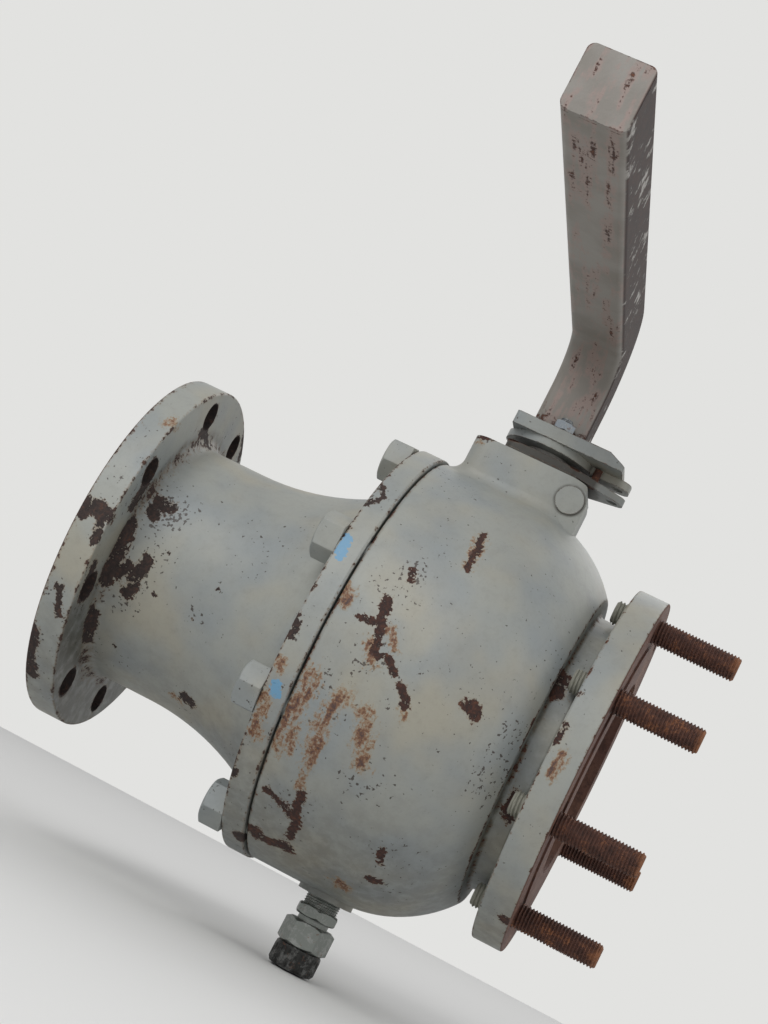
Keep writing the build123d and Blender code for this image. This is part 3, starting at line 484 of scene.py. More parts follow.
class Finish(Nodes):
    """A material with one Principled shader and the nodes that feed it, in millimetres."""

    def __init__(self, name, **constants):
        self.material = bpy.data.materials.new(name)
        self.material.use_nodes = True
        super().__init__(self.material.node_tree)
        self.shader = self.tree.nodes["Principled BSDF"]
        for key, value in constants.items():
            self.set(key.replace("_", " ").title(), value)
        place = self.node("ShaderNodeTexCoord", {}, {}, "Object")
        self.place = self.node("ShaderNodeMapping", {}, {0: place, "Scale": (1 / MM,) * 3})
        self.x, self.y, self.z = self.parts("ShaderNodeSeparateXYZ", self.place)
        self.ring = self.y.diagonal(self.z)

    def set(self, key, value):
        self.feed(self.shader.inputs[key], value)

    def noise(self, size, detail=3.0, roughness=0.55, shift=0.0, place=None, output=0):
        """Cloudy values of about 0 to 1 whose lumps are a size in millimetres across."""
        sockets = {0: place or self.place, "Location": (shift, shift * 1.7, -shift * 0.6)}
        place = self.node("ShaderNodeMapping", {}, sockets)
        sockets = {"Vector": place, "Scale": 1 / size, "Detail": detail, "Roughness": roughness}
        return self.node("ShaderNodeTexNoise", {}, sockets, output)

    def unroll(self, coarse, slight):
        """Lay the place out as lengths along the bore, round it from the front and out from it.

        Cloudy shifts of two sizes, in millimetres, leave no smooth outline on what is measured
        from it.
        """
        turn = self.z.math("ARCTAN2", self.y * -1.0)
        lengths = [self.x, self.ring * turn, self.ring]
        place = self.node("ShaderNodeCombineXYZ", {}, dict(enumerate(lengths)))
        self.streaks = place.vector("MULTIPLY", (1.0, 0.26, 0.26))
        for amount, size in ((coarse, 9.0), (slight, 2.4)):
            cloud = self.parts("ShaderNodeSeparateColor", self.noise(size, 3.0, output=1))
            lengths = [
                part.math("MULTIPLY_ADD", amount, length - amount / 2)
                for part, length in zip(cloud, lengths)
            ]
        self.flat = self.node("ShaderNodeCombineXYZ", {}, dict(enumerate(lengths)))

    def nearness(self, strokes):
        """Greatest of 1 - distance / width over strokes of (ring, width, ((x, degrees), ...)).

        A stroke runs through its points on a circle of its ring about the bore, in degrees up
        from the front. Strokes that nearly touch run into each other.
        """
        best = None
        for ring, width, points in strokes:
            places = [Vector((x, ring * math.radians(turn), ring)) for x, turn in points]
            for start, end in zip(places, places[1:] or places):
                apart, span = self.flat.vector("SUBTRACT", start), end - start
                if span.length > 0:
                    share = apart.vector("DOT_PRODUCT", span / span.length_squared, output=1)
                    share = share.math("MAXIMUM", 0.0).math("MINIMUM", 1.0)
                    sockets = {0: -span, "Scale": share}
                    back = self.node("ShaderNodeVectorMath", {"operation": "SCALE"}, sockets)
                    apart = apart.vector("ADD", back)
                near = 1 - apart.vector("LENGTH", output=1) / width
                best = near if best is None else best.math("SMOOTH_MAX", near, 0.35)
        return best

    def ring_nearness(self, rings):
        """Greatest of 1 - distance / width over circles round the bore of (x, radius, width)."""
        best = None
        for x, radius, width in rings:
            near = 1 - (self.x - x).diagonal(self.ring - radius) / width
            best = near if best is None else best.larger(near)
        return best

    def hole_distance(self, circle, count):
        """Distance from the nearest of the axes spaced evenly on a circle round the bore."""
        half = math.pi / count
        apart = (self.z.math("ARCTAN2", self.y) + half).math("PINGPONG", half)
        across = self.ring * apart.math("SINE")
        return across.diagonal(self.ring * apart.math("COSINE") - circle)

    def edge_nearness(self, radius):
        """How near a point is to a corner of its piece: 0 on open surface, about 1 on the edge.

        A normal averaged over a rounded corner of the radius turns away from the true normal
        only near an edge.
        """
        rounded = self.node("ShaderNodeBevel", {"samples": 6}, {0: radius * MM})
        true = self.node("ShaderNodeNewGeometry", {}, {}, "Normal")
        level = rounded.vector("DOT_PRODUCT", true, output=1)
        return ((1 - level) * 4.0).math("MINIMUM", 1.0)

    def surface(self, colour, rough, height):
        """Set the shader's colour, its roughness and, from a height in millimetres, its normal."""
        self.set("Base Color", colour)
        self.set("Roughness", rough)
        sockets = {"Strength": 1.0, "Distance": MM, "Height": height}
        self.set("Normal", self.node("ShaderNodeBump", {}, sockets))

    def dress(self, *names):
        """Give the finish to construction nodes by name."""
        for name in names:
            for slot in frame["nodes"][name].material_slots:
                slot.material = self.material


RUST_STOPS = (
    (0.34, linear(29, 21, 20)),
    (0.46, linear(46, 30, 27)),
    (0.56, linear(68, 42, 34)),
    (0.70, linear(106, 66, 45)),
)
DARK_STOPS = (
    (0.34, linear(27, 22, 21)),
    (0.46, linear(42, 33, 31)),
    (0.56, linear(58, 45, 41)),
    (0.70, linear(92, 60, 45)),
)
STAIN_STOPS = (
    (0.02, linear(152, 138, 114)),
    (0.25, linear(143, 108, 68)),
    (0.52, linear(114, 70, 39)),
    (0.88, linear(68, 40, 34)),
)
STAIN = linear(130, 106, 80)
MARK_BLUE = linear(96, 150, 186)


def painted(
    name,
    settings,
    rings=(),
    chips=(),
    rust=(),
    sprays=(),
    scale_stops=RUST_STOPS,
    edges=None,
    bare=None,
    marks=(),
    dirt_and_shade=None,
    wear=None,
    tone=1.0,
):
    """Weathered paint: chips to rusty metal at corners and chosen places, rust and dirt.

    rings are taken as ring_nearness() does, and chips, rust, sprays of specks and marks of blue
    paint as nearness() does. scale_stops colour the bare metal, edges is the radius of general
    edge wear, and tone darkens the paint. bare gives the machined faces, the function for dirt and
    painted shade gives where the paint is darkened, and wear where more chips are, each as a function of the
    finish.

    The paint is gone where the field, which says how near a place is to chipping, and ragged
    clouds add up to more than 0.
    """
    finish = Finish(name)
    finish.unroll(8.0, 6.5)
    broad = finish.noise(70.0, 2.0)
    lumps = finish.noise(56.0, 2.0, shift=31.0)
    medium = finish.noise(10.0, 5.0, 0.62, shift=7.0)
    fine = finish.noise(2.6, 4.0, 0.65, shift=17.0)
    grit = finish.noise(0.7, 2.0, shift=3.0)
    ragged = (medium - 0.5) * 1.6 + (fine - 0.5) * 1.5

    dots = finish.noise(2.9, 2.0, 0.5, shift=40.0).frayed(lumps, 0.30)
    if sprays:
        dots = dots + finish.nearness(sprays).rise(-0.6, 0.8) * 0.09
    fields = []
    if rings:
        fields.append(finish.ring_nearness(rings) * 0.62 - 0.56)
    if edges:
        fields.append(finish.edge_nearness(edges) * 0.60 - 0.56)
    if wear is not None:
        fields.append(wear(finish) * 0.9 - 0.62)
    if chips:
        near = finish.nearness(chips)
        fields += [(near * 1.1 - 0.16).math("MINIMUM", 0.30), near * 0.3 - 0.40]
        dots = dots + near.rise(-4.0, 0.0) * 0.06
    field = fields[0].larger(-0.98)
    for other in fields[1:]:
        field = field.larger(other)
    core = (field + ragged).rise(0.0, 0.06)
    halo = (field + ragged * 0.8).rise(-0.26, 0.06) * 0.55

    specks = dots.rise(1.02 - settings.speckle, 1.05 - settings.speckle)
    tones = [tuple(c * tone for c in colour) for colour in (settings.warm, settings.paint)]
    base = finish.mix(*tones, broad.rise(0.34, 0.56))
    cool = tuple(c * tone for c in settings.cool)
    base = finish.mix(base, cool, lumps.rise(0.38, 0.70) * 0.66)
    shade = medium.rise(0.44, 0.78) * 0.11 + fine.rise(0.5, 0.8) * 0.09
    base = finish.mix(base, tuple(settings.grime_and_shade), shade)
    # Dirt and painted shade: the grime colour, darkened by the tone, is laid over where that function says.
    if dirt_and_shade is not None:
        dirt = dirt_and_shade(finish) * (medium.rise(0.28, 0.60) * 0.7 + 0.3)
        base = finish.mix(base, tuple(c * tone * tone for c in settings.grime_and_shade), dirt)
    base = finish.mix(base, STAIN, halo)
    base = finish.mix(base, linear(54, 43, 37), specks * 0.85)
    if marks:
        dab = finish.nearness(marks).frayed(fine, 1.6).rise(0.05, 0.20)
        base = finish.mix(base, MARK_BLUE, dab * 0.85)
    worn = core
    if rust:
        streak = finish.noise(4.4, 4.0, 0.6, place=finish.streaks)
        spread = (finish.nearness(rust) * 0.75 - 0.02).math("MINIMUM", 0.42)
        spread = spread.frayed(fine, 2.2).frayed(streak, 2.4)
        bloom = spread.rise(-0.35, 0.60)
        base = finish.mix(base, finish.ramp(spread.frayed(grit, 0.8), STAIN_STOPS), bloom * 0.9)
        worn = worn.larger(bloom * 0.6)
    scale = finish.ramp(fine * 0.6 + medium * 0.4, scale_stops)
    colour = finish.mix(base, scale, core)
    rough = 0.42 + fine * 0.16 + worn * 0.34
    dents = lumps * 0.8 + medium * 0.16 + fine * 0.09 + grit * 0.03
    height = dents + (1 - core) * settings.chip_depth + worn * fine * 0.5 - specks * 0.15
    if bare is not None:
        face = bare(finish)
        turned_face = finish.mix(linear(94, 63, 54), linear(110, 77, 62), lumps.rise(0.35, 0.65))
        blotch = medium.frayed(fine, 0.8).rise(0.46, 0.60) * 0.6
        turned_face = finish.mix(turned_face, finish.ramp(fine, RUST_STOPS), blotch)
        colour = finish.mix(colour, turned_face, face)
        rough = rough + (0.66 - rough) * face
        ring_lines = finish.ring.waves(0.8) * 0.05
        height = height * (1 - face) + (ring_lines + fine * 0.25) * face
        finish.set("Metallic", face * 0.25)
    finish.surface(colour, rough, height)
    return finish


def rusty_steel(name, dark=1.0, shine=0.15, painted_to=None, fresh_from=None):
    """Bare steel gone brown: dark scale, orange powder in patches and a rough pitted face.

    Paint lies on it up to a place along the bore, and fresher orange rust from another on.
    """
    finish = Finish(name, metallic=shine)
    medium = finish.noise(9.0, 4.0, 0.6)
    fine = finish.noise(1.6, 4.0, 0.65, shift=5.0)
    deep = tuple(c * dark for c in linear(54, 36, 31))
    mid = tuple(c * dark for c in linear(86, 56, 46))
    light = tuple(c * dark for c in linear(126, 84, 62))
    colour = finish.ramp(fine * 0.55 + medium * 0.45, ((0.36, deep), (0.52, mid), (0.70, light)))
    dust = medium.frayed(fine, 0.8).rise(0.56, 0.74) * 0.6
    if fresh_from is not None:
        fresh = ((finish.x - fresh_from) / 12.0).frayed(medium, 2.0).frayed(fine)
        dust = dust.larger(fresh.rise(0.0, 1.0) * 0.75)
    colour = finish.mix(colour, linear(148, 98, 64), dust)
    if painted_to is not None:
        cover = ((finish.x - painted_to) * 0.2).frayed(medium, 1.4).frayed(fine).rise(0.3, 0.1)
        colour = finish.mix(colour, linear(140, 139, 128), cover)
    finish.surface(colour, 0.62 + fine * 0.3, fine * 0.22 + medium * 0.12)
    return finish


def plated_steel(name, tint, dull=0.45, white=0.55):
    """Zinc plate with a share of white bloom, a painted highlight along the corners, brown spots at the corners
    and small dents.
    """
    finish = Finish(name)
    medium = finish.noise(6.0, 4.0, 0.6)
    fine = finish.noise(1.2, 4.0, 0.6, shift=9.0)
    edge = finish.edge_nearness(0.8)
    bloom = medium.frayed(fine, 0.5).rise(0.46, 0.68)
    colour = finish.mix(tint, linear(176, 177, 174), bloom * white)
    # Painted highlight: the corners are laid over with a pale colour.
    edge_highlight = edge.rise(0.25, 0.9) * 0.5
    colour = finish.mix(colour, linear(196, 196, 192), edge_highlight)
    rust = (finish.noise(4.0, 5.0, 0.7, shift=21.0) + edge * 0.06).rise(0.60, 0.70)
    colour = finish.mix(colour, linear(112, 70, 46), rust * 0.85)
    finish.set("Metallic", 0.8 - bloom * 0.45 - rust * 0.6)
    finish.surface(colour, dull + bloom * 0.22 + rust * 0.3, fine * 0.05 + rust * 0.08)
    return finish


def machined_steel(name, tint, rough, lines=None):
    """Machined metal with faint tool marks, handling smears and a few rust pricks."""
    finish = Finish(name)
    medium = finish.noise(16.0, 3.0)
    fine = finish.noise(1.4, 4.0, 0.6, shift=11.0)
    dull = medium.rise(0.40, 0.70)
    pricks = finish.noise(1.1, 2.0, shift=8.0).rise(0.72, 0.76)
    colour = finish.mix(tint, tuple(c * 0.72 for c in tint), dull * 0.6)
    colour = finish.mix(colour, linear(104, 66, 46), pricks * 0.8)
    finish.set("Metallic", 1.0 - pricks * 0.8)
    height = fine * 0.02
    if lines is not None:
        height = height + lines(finish) * 0.012
    finish.surface(colour, rough + dull * 0.12 + fine * 0.08 + pricks * 0.4, height)
    return finish


def moulded(name, tint, rough):
    """Plain moulded or pressed material with soft mottling and a fine grain."""
    finish = Finish(name)
    medium = finish.noise(8.0, 3.0)
    fine = finish.noise(0.9, 3.0, shift=4.0)
    dirt = medium.frayed(fine, 0.6).rise(0.50, 0.75)
    colour = finish.mix(tint, tuple(c * 0.6 for c in tint), dirt * 0.5)
    finish.surface(colour, rough + fine * 0.12, fine * 0.06)
    return finish


def worn_paint(name):
    """The lever's thin paint: rubbed through in streaks to brown steel, most on its +X side, whose face is also
    painted darker as painted shade.
    """
    finish = Finish(name)
    broad = finish.noise(46.0, 3.0)
    medium = finish.noise(9.0, 5.0, 0.62, shift=13.0)
    fine = finish.noise(2.2, 4.0, 0.65, shift=2.0)
    edge = finish.edge_nearness(2.0)
    streak_place = finish.place.vector("MULTIPLY", (0.16, 0.02, 0.03))
    streak = finish.noise(1.0, 4.0, place=streak_place)
    base = finish.mix(linear(136, 132, 126), linear(122, 117, 110), broad.rise(0.35, 0.65))
    pink = streak.frayed(medium, 0.5).rise(0.46, 0.62)
    base = finish.mix(base, linear(143, 124, 117), pink * 0.75)
    worn = (streak * 0.95 + medium * 0.2 + edge * 0.16).frayed(fine, 0.5).rise(0.70, 0.78)
    low = (finish.z - HEAD_Z[1]).rise(36.0, 0.0)
    worn = worn.larger((low * 0.35 + medium * 0.7).frayed(fine, 0.5).rise(0.66, 0.78))
    # The +X side face wears through more, and its bare steel is painted dark brown as painted shade of that side.
    side = (finish.x - STEM_X - LEVER_HALF).rise(-1.5, -0.3)
    worn = worn.larger(side * medium.frayed(streak, 0.8).rise(0.30, 0.42))
    rust = finish.ramp(fine * 0.5 + medium * 0.5, RUST_STOPS)
    rust = finish.mix(rust, linear(47, 40, 38), side * 0.6)
    height = (1 - worn) * 0.25 + fine * 0.12 + medium * 0.25
    finish.surface(finish.mix(base, rust, worn), 0.48 + fine * 0.14 + worn * 0.28, height)
    return finish


# Wear of the castings. Rings are (x, radius, width) about the bore, and strokes
# are (ring, width, ((x, degrees up from the front), ...)).
INLET_RINGS = (
    (INLET_FLANGE[0], FLANGE_R, 6.0),
    (INLET_FLANGE[1], FLANGE_R, 4.0),
    (INLET_FLANGE[1], NECK_R + 4.0, 13.0),
    (JOINT_FLANGE[0], JOINT_FLANGE_R, 4.2),
    (JOINT_FLANGE[1], JOINT_FLANGE_R, 3.0),
)
INLET_CHIPS = (
    (FLANGE_R, 8.5, ((14, 2), (19, 1))),
    (FLANGE_R, 4.6, ((20, -2), (22.8, -6.8))),
    (FLANGE_R, 4.6, ((5, -2), (7, 2.5))),
    (FLANGE_R, 3.4, ((12.2, -23.5), (18, -31.5))),
    (FLANGE_R, 7.0, ((3.5, -41), (3, -50), (7, -57))),
    (FLANGE_R, 8.0, ((14, 154.5),)),
    (FLANGE_R, 9.0, ((22, 112), (24, 120))),
    (BOLT_CIRCLE_R - 8.0, 8.0, ((25.5, 20), (25.5, 10.5))),
    (BOLT_CIRCLE_R + 6.0, 6.5, ((25.5, -14.5), (25.5, -25.5))),
    (BOLT_CIRCLE_R - 13.0, 7.0, ((25.5, 69), (25.5, 64.5))),
    (NECK_R, 7.2, ((36, 20), (43, 19.5))),
    (NECK_R, 4.6, ((38, 13.5), (33, 14.5))),
    (NECK_R, 6.0, ((49.5, -6.5), (47, -13), (45.5, -22))),
    (NECK_R, 6.0, ((33.8, -15.7), (38, -12))),
    (NECK_R + 4.0, 7.0, ((26, 5), (28, -9.5), (27, -21.5))),
    (NECK_R + 4.0, 6.5, ((27, -36), (26, -52))),
    (NECK_R + 4.0, 6.0, ((27, 73),)),
    (NECK_R, 2.6, ((64.8, -17.3),)),
    (NECK_R, 2.2, ((61.6, 1.9),)),
    (NECK_R + 1.0, 2.4, ((97.8, -19.2),)),
    (NECK_R + 2.0, 2.6, ((106.3, -3.2),)),
    (NECK_R, 2.4, ((48, -50.8),)),
    (NECK_R + 4.0, 6.4, ((110, -57), (116, -58))),
    (NECK_R, 8.0, ((60, 137),)),
    (JOINT_FLANGE_R, 7.0, ((189, 156),)),
    (JOINT_FLANGE_R, 6.0, ((181, -44),)),
    (JOINT_FLANGE_R, 9.0, ((197, -68.5),)),
    (JOINT_FLANGE_R, 2.6, ((182, 33), (188, 38), (183, 41))),
    (JOINT_FLANGE_R, 3.0, ((182, -1), (183, -6))),
)
INLET_SPRAYS = (
    (NECK_R, 12.0, ((53, -2), (50, -26))),
    (NECK_R, 12.0, ((46, 12), (52, 18))),
    (FLANGE_R, 8.0, ((12, 12),)),
    (JOINT_FLANGE_R, 5.0, ((181, -20), (181, -42))),
)
INLET_RUST = (
    (JOINT_FLANGE_R, 5.0, ((184, -13),)),
    (JOINT_FLANGE_R, 5.5, ((183, -21.5), (187, -31))),
    (FLANGE_R, 7.0, ((24, 37),)),
    (NECK_R + 3.0, 5.0, ((103, -62),)),
    (NECK_R, 13.0, ((40, -152),)),
)
PAINT_MARKS = (
    (JOINT_FLANGE_R, 4.4, ((184, 21.5), (186, 16.5))),
    (JOINT_FLANGE_R, 4.6, ((188, -17.5), (190, -20))),
)
BODY_RINGS = (
    (BODY_START, BARREL_R, 3.4),
    (OUTLET_FLANGE[0], FLANGE_R, 2.6),
    (OUTLET_FLANGE[1], FLANGE_R, 3.2),
    (SHOULDER_X, SHOULDER_END_R, 3.4),
    (OUTLET_FLANGE[0], GROOVE_R, 4.0),
    (SHOULDER_X, GROOVE_R, 6.0),
)
BODY_CHIPS = (
    (BARREL_R, 4.4, ((229.4, 11.5), (233, 6.5), (236.4, 1.5))),
    (BARREL_R, 2.9, ((219, 5.2), (228, 5.7))),
    (BARREL_R, 3.4, ((237, -0.5), (243, -0.8))),
    (BARREL_R, 3.6, ((249.4, -0.8), (256, -2.8))),
    (BARREL_R, 4.6, ((265, -5.6), (273, -8.6))),
    (BARREL_R, 2.8, ((233, 21.5), (236, 19.5))),
    (BARREL_R, 3.0, ((262, 42), (264, 36), (266, 29))),
    (BARREL_R - 9.0, 6.4, ((309, -2.2), (315, -2.6))),
    (BARREL_R, 4.0, ((207, -45), (222, -47), (229, -49))),
    (BARREL_R, 4.2, ((232, -41), (231, -45), (234, -52), (232, -57))),
    (BARREL_R, 8.0, ((203, -62), (209, -63.5))),
    (BARREL_R, 6.0, ((213, -64), (221, -63.5))),
    (BARREL_R, 7.4, ((227, -62.5), (232, -61.5))),
    (BARREL_R - 3.0, 3.2, ((296.4, -46.5), (298, -51))),
    (BARREL_R - 3.0, 4.6, ((293.5, -58.6), (301, -57.8))),
    (GROOVE_R + 3.0, 9.0, ((352, 23), (354, 18))),
    (GROOVE_R + 3.0, 7.0, ((360, -22), (362, -30))),
    (FLANGE_R, 3.4, ((369, 15),)),
    (FLANGE_R, 3.0, ((370, 1), (371, 6))),
    (FLANGE_R, 5.6, ((389, -58),)),
    (PAD_CORNER_R, 3.6, ((211, 76.5), (224, 76.5))),
    (BARREL_R, 9.0, ((240, 150),)),
    (BARREL_R - 6.0, 8.0, ((300, -141),)),
    (BARREL_R, 10.0, ((222, -112),)),
    (FLANGE_R, 7.0, ((386, 156),)),
)
BODY_SPRAYS = (
    (BARREL_R - 28.0, 13.0, ((340, -3), (338, -11), (337, -20), (345, -26))),
    (BARREL_R, 11.0, ((220, 16), (233, 20), (245, 14))),
    (BARREL_R, 12.0, ((219, -12), (234, -7))),
    (BARREL_R, 16.0, ((263, -31), (288, -29))),
)
BODY_RUST = (
    (BARREL_R, 5.0, ((202, 10), (204, 7))),
    (BARREL_R, 8.0, ((207, -13), (205, -22), (206, -31))),
    (BARREL_R, 6.6, ((231, -13), (226, -22.5), (228, -32))),
    (BARREL_R, 3.4, ((228, -32), (229, -39))),
    (BARREL_R, 6.4, ((250.6, -14.8), (257, -20), (261.7, -25.5))),
    (BARREL_R, 3.4, ((241, 5.5), (250, 2))),
    (BARREL_R, 4.6, ((232, 1), (241, -3))),
    (BARREL_R, 4.4, ((274, -10.6),)),
    (BARREL_R, 8.6, ((276, -67),)),
    (BARREL_R, 4.6, ((262, 41), (265, 30))),
    (FLANGE_R, 4.4, ((378, -2.5), (377, -8))),
    (PAD_CORNER_R - 4.0, 4.5, ((214, 76),)),
    (BARREL_R - 13.0, 12.0, ((320, 140), (318, 148))),
    (BARREL_R, 13.0, ((246, -122), (248, -130))),
)

# How far each joint screw's head is turned, in degrees
HEAD_TURNS = (4.0, 17.0, -11.0, 26.0, 8.0, -20.0, 13.0, -5.0)


def inlet_bare(finish):
    """The flange's face, the raised face and the bore are turned and left bare."""
    face = (finish.x - INLET_FLANGE[0]).rise(0.9, 0.5)
    return face.larger((finish.ring - BORE_R).rise(1.0, 0.5))


def body_bare(finish):
    """The flange's face, its stud holes, the raised face and the bore are cut and left bare."""
    face = (finish.x - OUTLET_FLANGE[1]).rise(-0.9, -0.5)
    hole = finish.hole_distance(BOLT_CIRCLE_R, BOLT_COUNT) - STUD_R
    hole = hole.rise(1.2, 0.6) * (finish.x - OUTLET_FLANGE[0]).rise(0.5, 2.0)
    return face.larger(hole).larger((finish.ring - BORE_R).rise(1.0, 0.5))


def inlet_wear(finish):
    """Paint is gone in the bolt holes and thin round them."""
    hole = finish.hole_distance(BOLT_CIRCLE_R, BOLT_COUNT) - BOLT_HOLE_R
    flange = (finish.x - INLET_FLANGE[1]).rise(3.0, 0.5)
    return (hole.rise(5.0, 0.0) * 0.75 + hole.rise(0.6, 0.2) * 0.8) * flange


def inlet_dirt_and_shade(finish):
    """Dirt and painted shade lie on the back of the flange, at the neck's foot and under the joint flange, with
    more painted shade low on the flange's back beside the neck, and the paint is darker towards the bottom.
    """
    back = (finish.x - INLET_FLANGE[1]).rise(-1.0, -0.3)
    root = finish.ring_nearness(((INLET_FLANGE[1], NECK_R + 6.0, 9.0),)).rise(-0.3, 0.8)
    corner = (finish.x - JOINT_FLANGE[0]).rise(-12.0, 0.0)
    corner = corner * (finish.ring - NECK_END_R).rise(8.0, -4.0)
    low = (finish.z * -1.0).rise(40.0, 130.0) * 0.34
    shade = (finish.x - INLET_FLANGE[1]).rise(12.0, 0.0) * (finish.z * -1.0).rise(20.0, 90.0)
    return (back * root * 0.62).larger(back * shade * 0.8).larger(corner * 0.5).larger(low)


def body_dirt_and_shade(finish):
    """Dirt and painted shade lie in the corners of the groove, on the shoulder's wall, along the joint and on the
    underside, with a dark ring round the front of the plug.
    """
    corners = ((SHOULDER_X, GROOVE_R, 5.0), (OUTLET_FLANGE[0], GROOVE_R, 5.0))
    groove = finish.ring_nearness(corners).rise(0.0, 0.8)
    wall = (finish.x - SHOULDER_X).rise(-0.5, 0.5)
    wall = wall * (finish.ring - SHOULDER_END_R).rise(2.0, -1.0) * 0.25
    joint = (finish.x - BODY_START).rise(3.0, 0.0) * 0.5
    low = (finish.z * -1.0).rise(70.0, 150.0) * 0.40
    rim = (finish.x - PLUG_X).diagonal(finish.z - PLUG_Z) - PLUG_R
    plug = rim.rise(2.6, 0.4) * (finish.y * -1.0).rise(0.0, 1.0) * 0.75
    return groove.larger(wall).larger(joint).larger(low).larger(plug)


def plate_shade(finish):
    """The lock plate's square under the hub is painted black as painted shade of the hub; its ear keeps its paint.
    """
    return (finish.x - STEM_X).diagonal(finish.y).rise(HUB_SHADE_R, HUB_SHADE_R - 8.0) * 2.6


class VALVE_OT_castings(bpy.types.Operator):
    """Paint the two castings, with the chips and rust of a valve kept outdoors"""

    bl_idname = "valve.castings"
    bl_label = "Castings"
    bl_options = {"REGISTER", "UNDO"}

    def execute(self, context):
        paint = context.scene.valve_paint
        painted(
            "inlet casting paint",
            paint,
            rings=INLET_RINGS,
            chips=INLET_CHIPS,
            rust=INLET_RUST,
            sprays=INLET_SPRAYS,
            scale_stops=DARK_STOPS,
            bare=inlet_bare,
            marks=PAINT_MARKS,
            dirt_and_shade=inlet_dirt_and_shade,
            wear=inlet_wear,
        ).dress("inlet_end")
        painted(
            "body casting paint",
            paint,
            rings=BODY_RINGS,
            chips=BODY_CHIPS,
            rust=BODY_RUST,
            sprays=BODY_SPRAYS,
            bare=body_bare,
            dirt_and_shade=body_dirt_and_shade,
        ).dress("valve_body")
        painted("plug paint", paint, edges=1.2).dress("body_plug")
        return {"FINISHED"}


class VALVE_OT_joint_screws(bpy.types.Operator):
    """Make the joint's cap screws, with chamfered hexagon heads painted over"""

    bl_idname = "valve.joint_screws"
    bl_label = "Joint screws"
    bl_options = {"REGISTER", "UNDO"}

    def execute(self, context):
        grids = []
        outer, inner = JOINT_BOLT_ENDS
        start = outer + JOINT_BOLT_SINK
        shank = [(0, start), (JOINT_BOLT_R, start), (JOINT_BOLT_R, inner - JOINT_BOLT_CHAMFER)]
        shank += [(JOINT_BOLT_R - JOINT_BOLT_CHAMFER, inner), (0, inner)]
        for (angle, y, z), extra in zip(circle_places(JOINT_BOLT_CIRCLE_R, BOLT_COUNT), HEAD_TURNS):
            turn = angle + math.radians(extra)
            head = hexagon_grid(
                JOINT_HEAD_ACROSS, outer, JOINT_FLANGE[0], chamfer_top=False, turn=turn
            )
            grids += placed("x", (0, y, z), head, lathe(shank, 24))
        paint = painted("joint screw paint", context.scene.valve_paint, edges=1.3)
        piece = surface_object("joint_screws", paint, grids, soft=0.6)
        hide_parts("joint_cap_screws")
        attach(piece, "valve")
        return {"FINISHED"}


class VALVE_OT_outlet_studs(bpy.types.Operator):
    """Make the rusty threaded studs of the outlet flange"""

    bl_idname = "valve.outlet_studs"
    bl_label = "Outlet studs"
    bl_options = {"REGISTER", "UNDO"}

    def execute(self, context):
        threads = context.scene.valve_threads
        pitch = threads.stud_pitch / MM
        grids = []
        for angle, y, z in circle_places(BOLT_CIRCLE_R, BOLT_COUNT)[STUDS_MISSING:]:
            for radius, start, end in (
                (STUD_INNER_R, STUD_ENDS[0], OUTLET_FLANGE[0] + STUD_OVERLAP),
                (STUD_R, OUTLET_FLANGE[1] - STUD_OVERLAP, STUD_ENDS[1]),
            ):
                size = (radius, start, end, pitch, STUD_THREAD_DEPTH, STUD_CHAMFER)
                grid = thread_grid(*size, threads.around, turn=angle * 5.0)
                grids += placed("x", (0, y, z), grid)
        tip = STUD_ENDS[1] - STUD_TIP
        steel = rusty_steel("rusty studs", painted_to=OUTLET_FLANGE[0], fresh_from=tip)
        piece = surface_object("threaded_studs", steel, grids, sharp=50.0)
        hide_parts("outlet_studs")
        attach(piece, "valve")
        return {"FINISHED"}


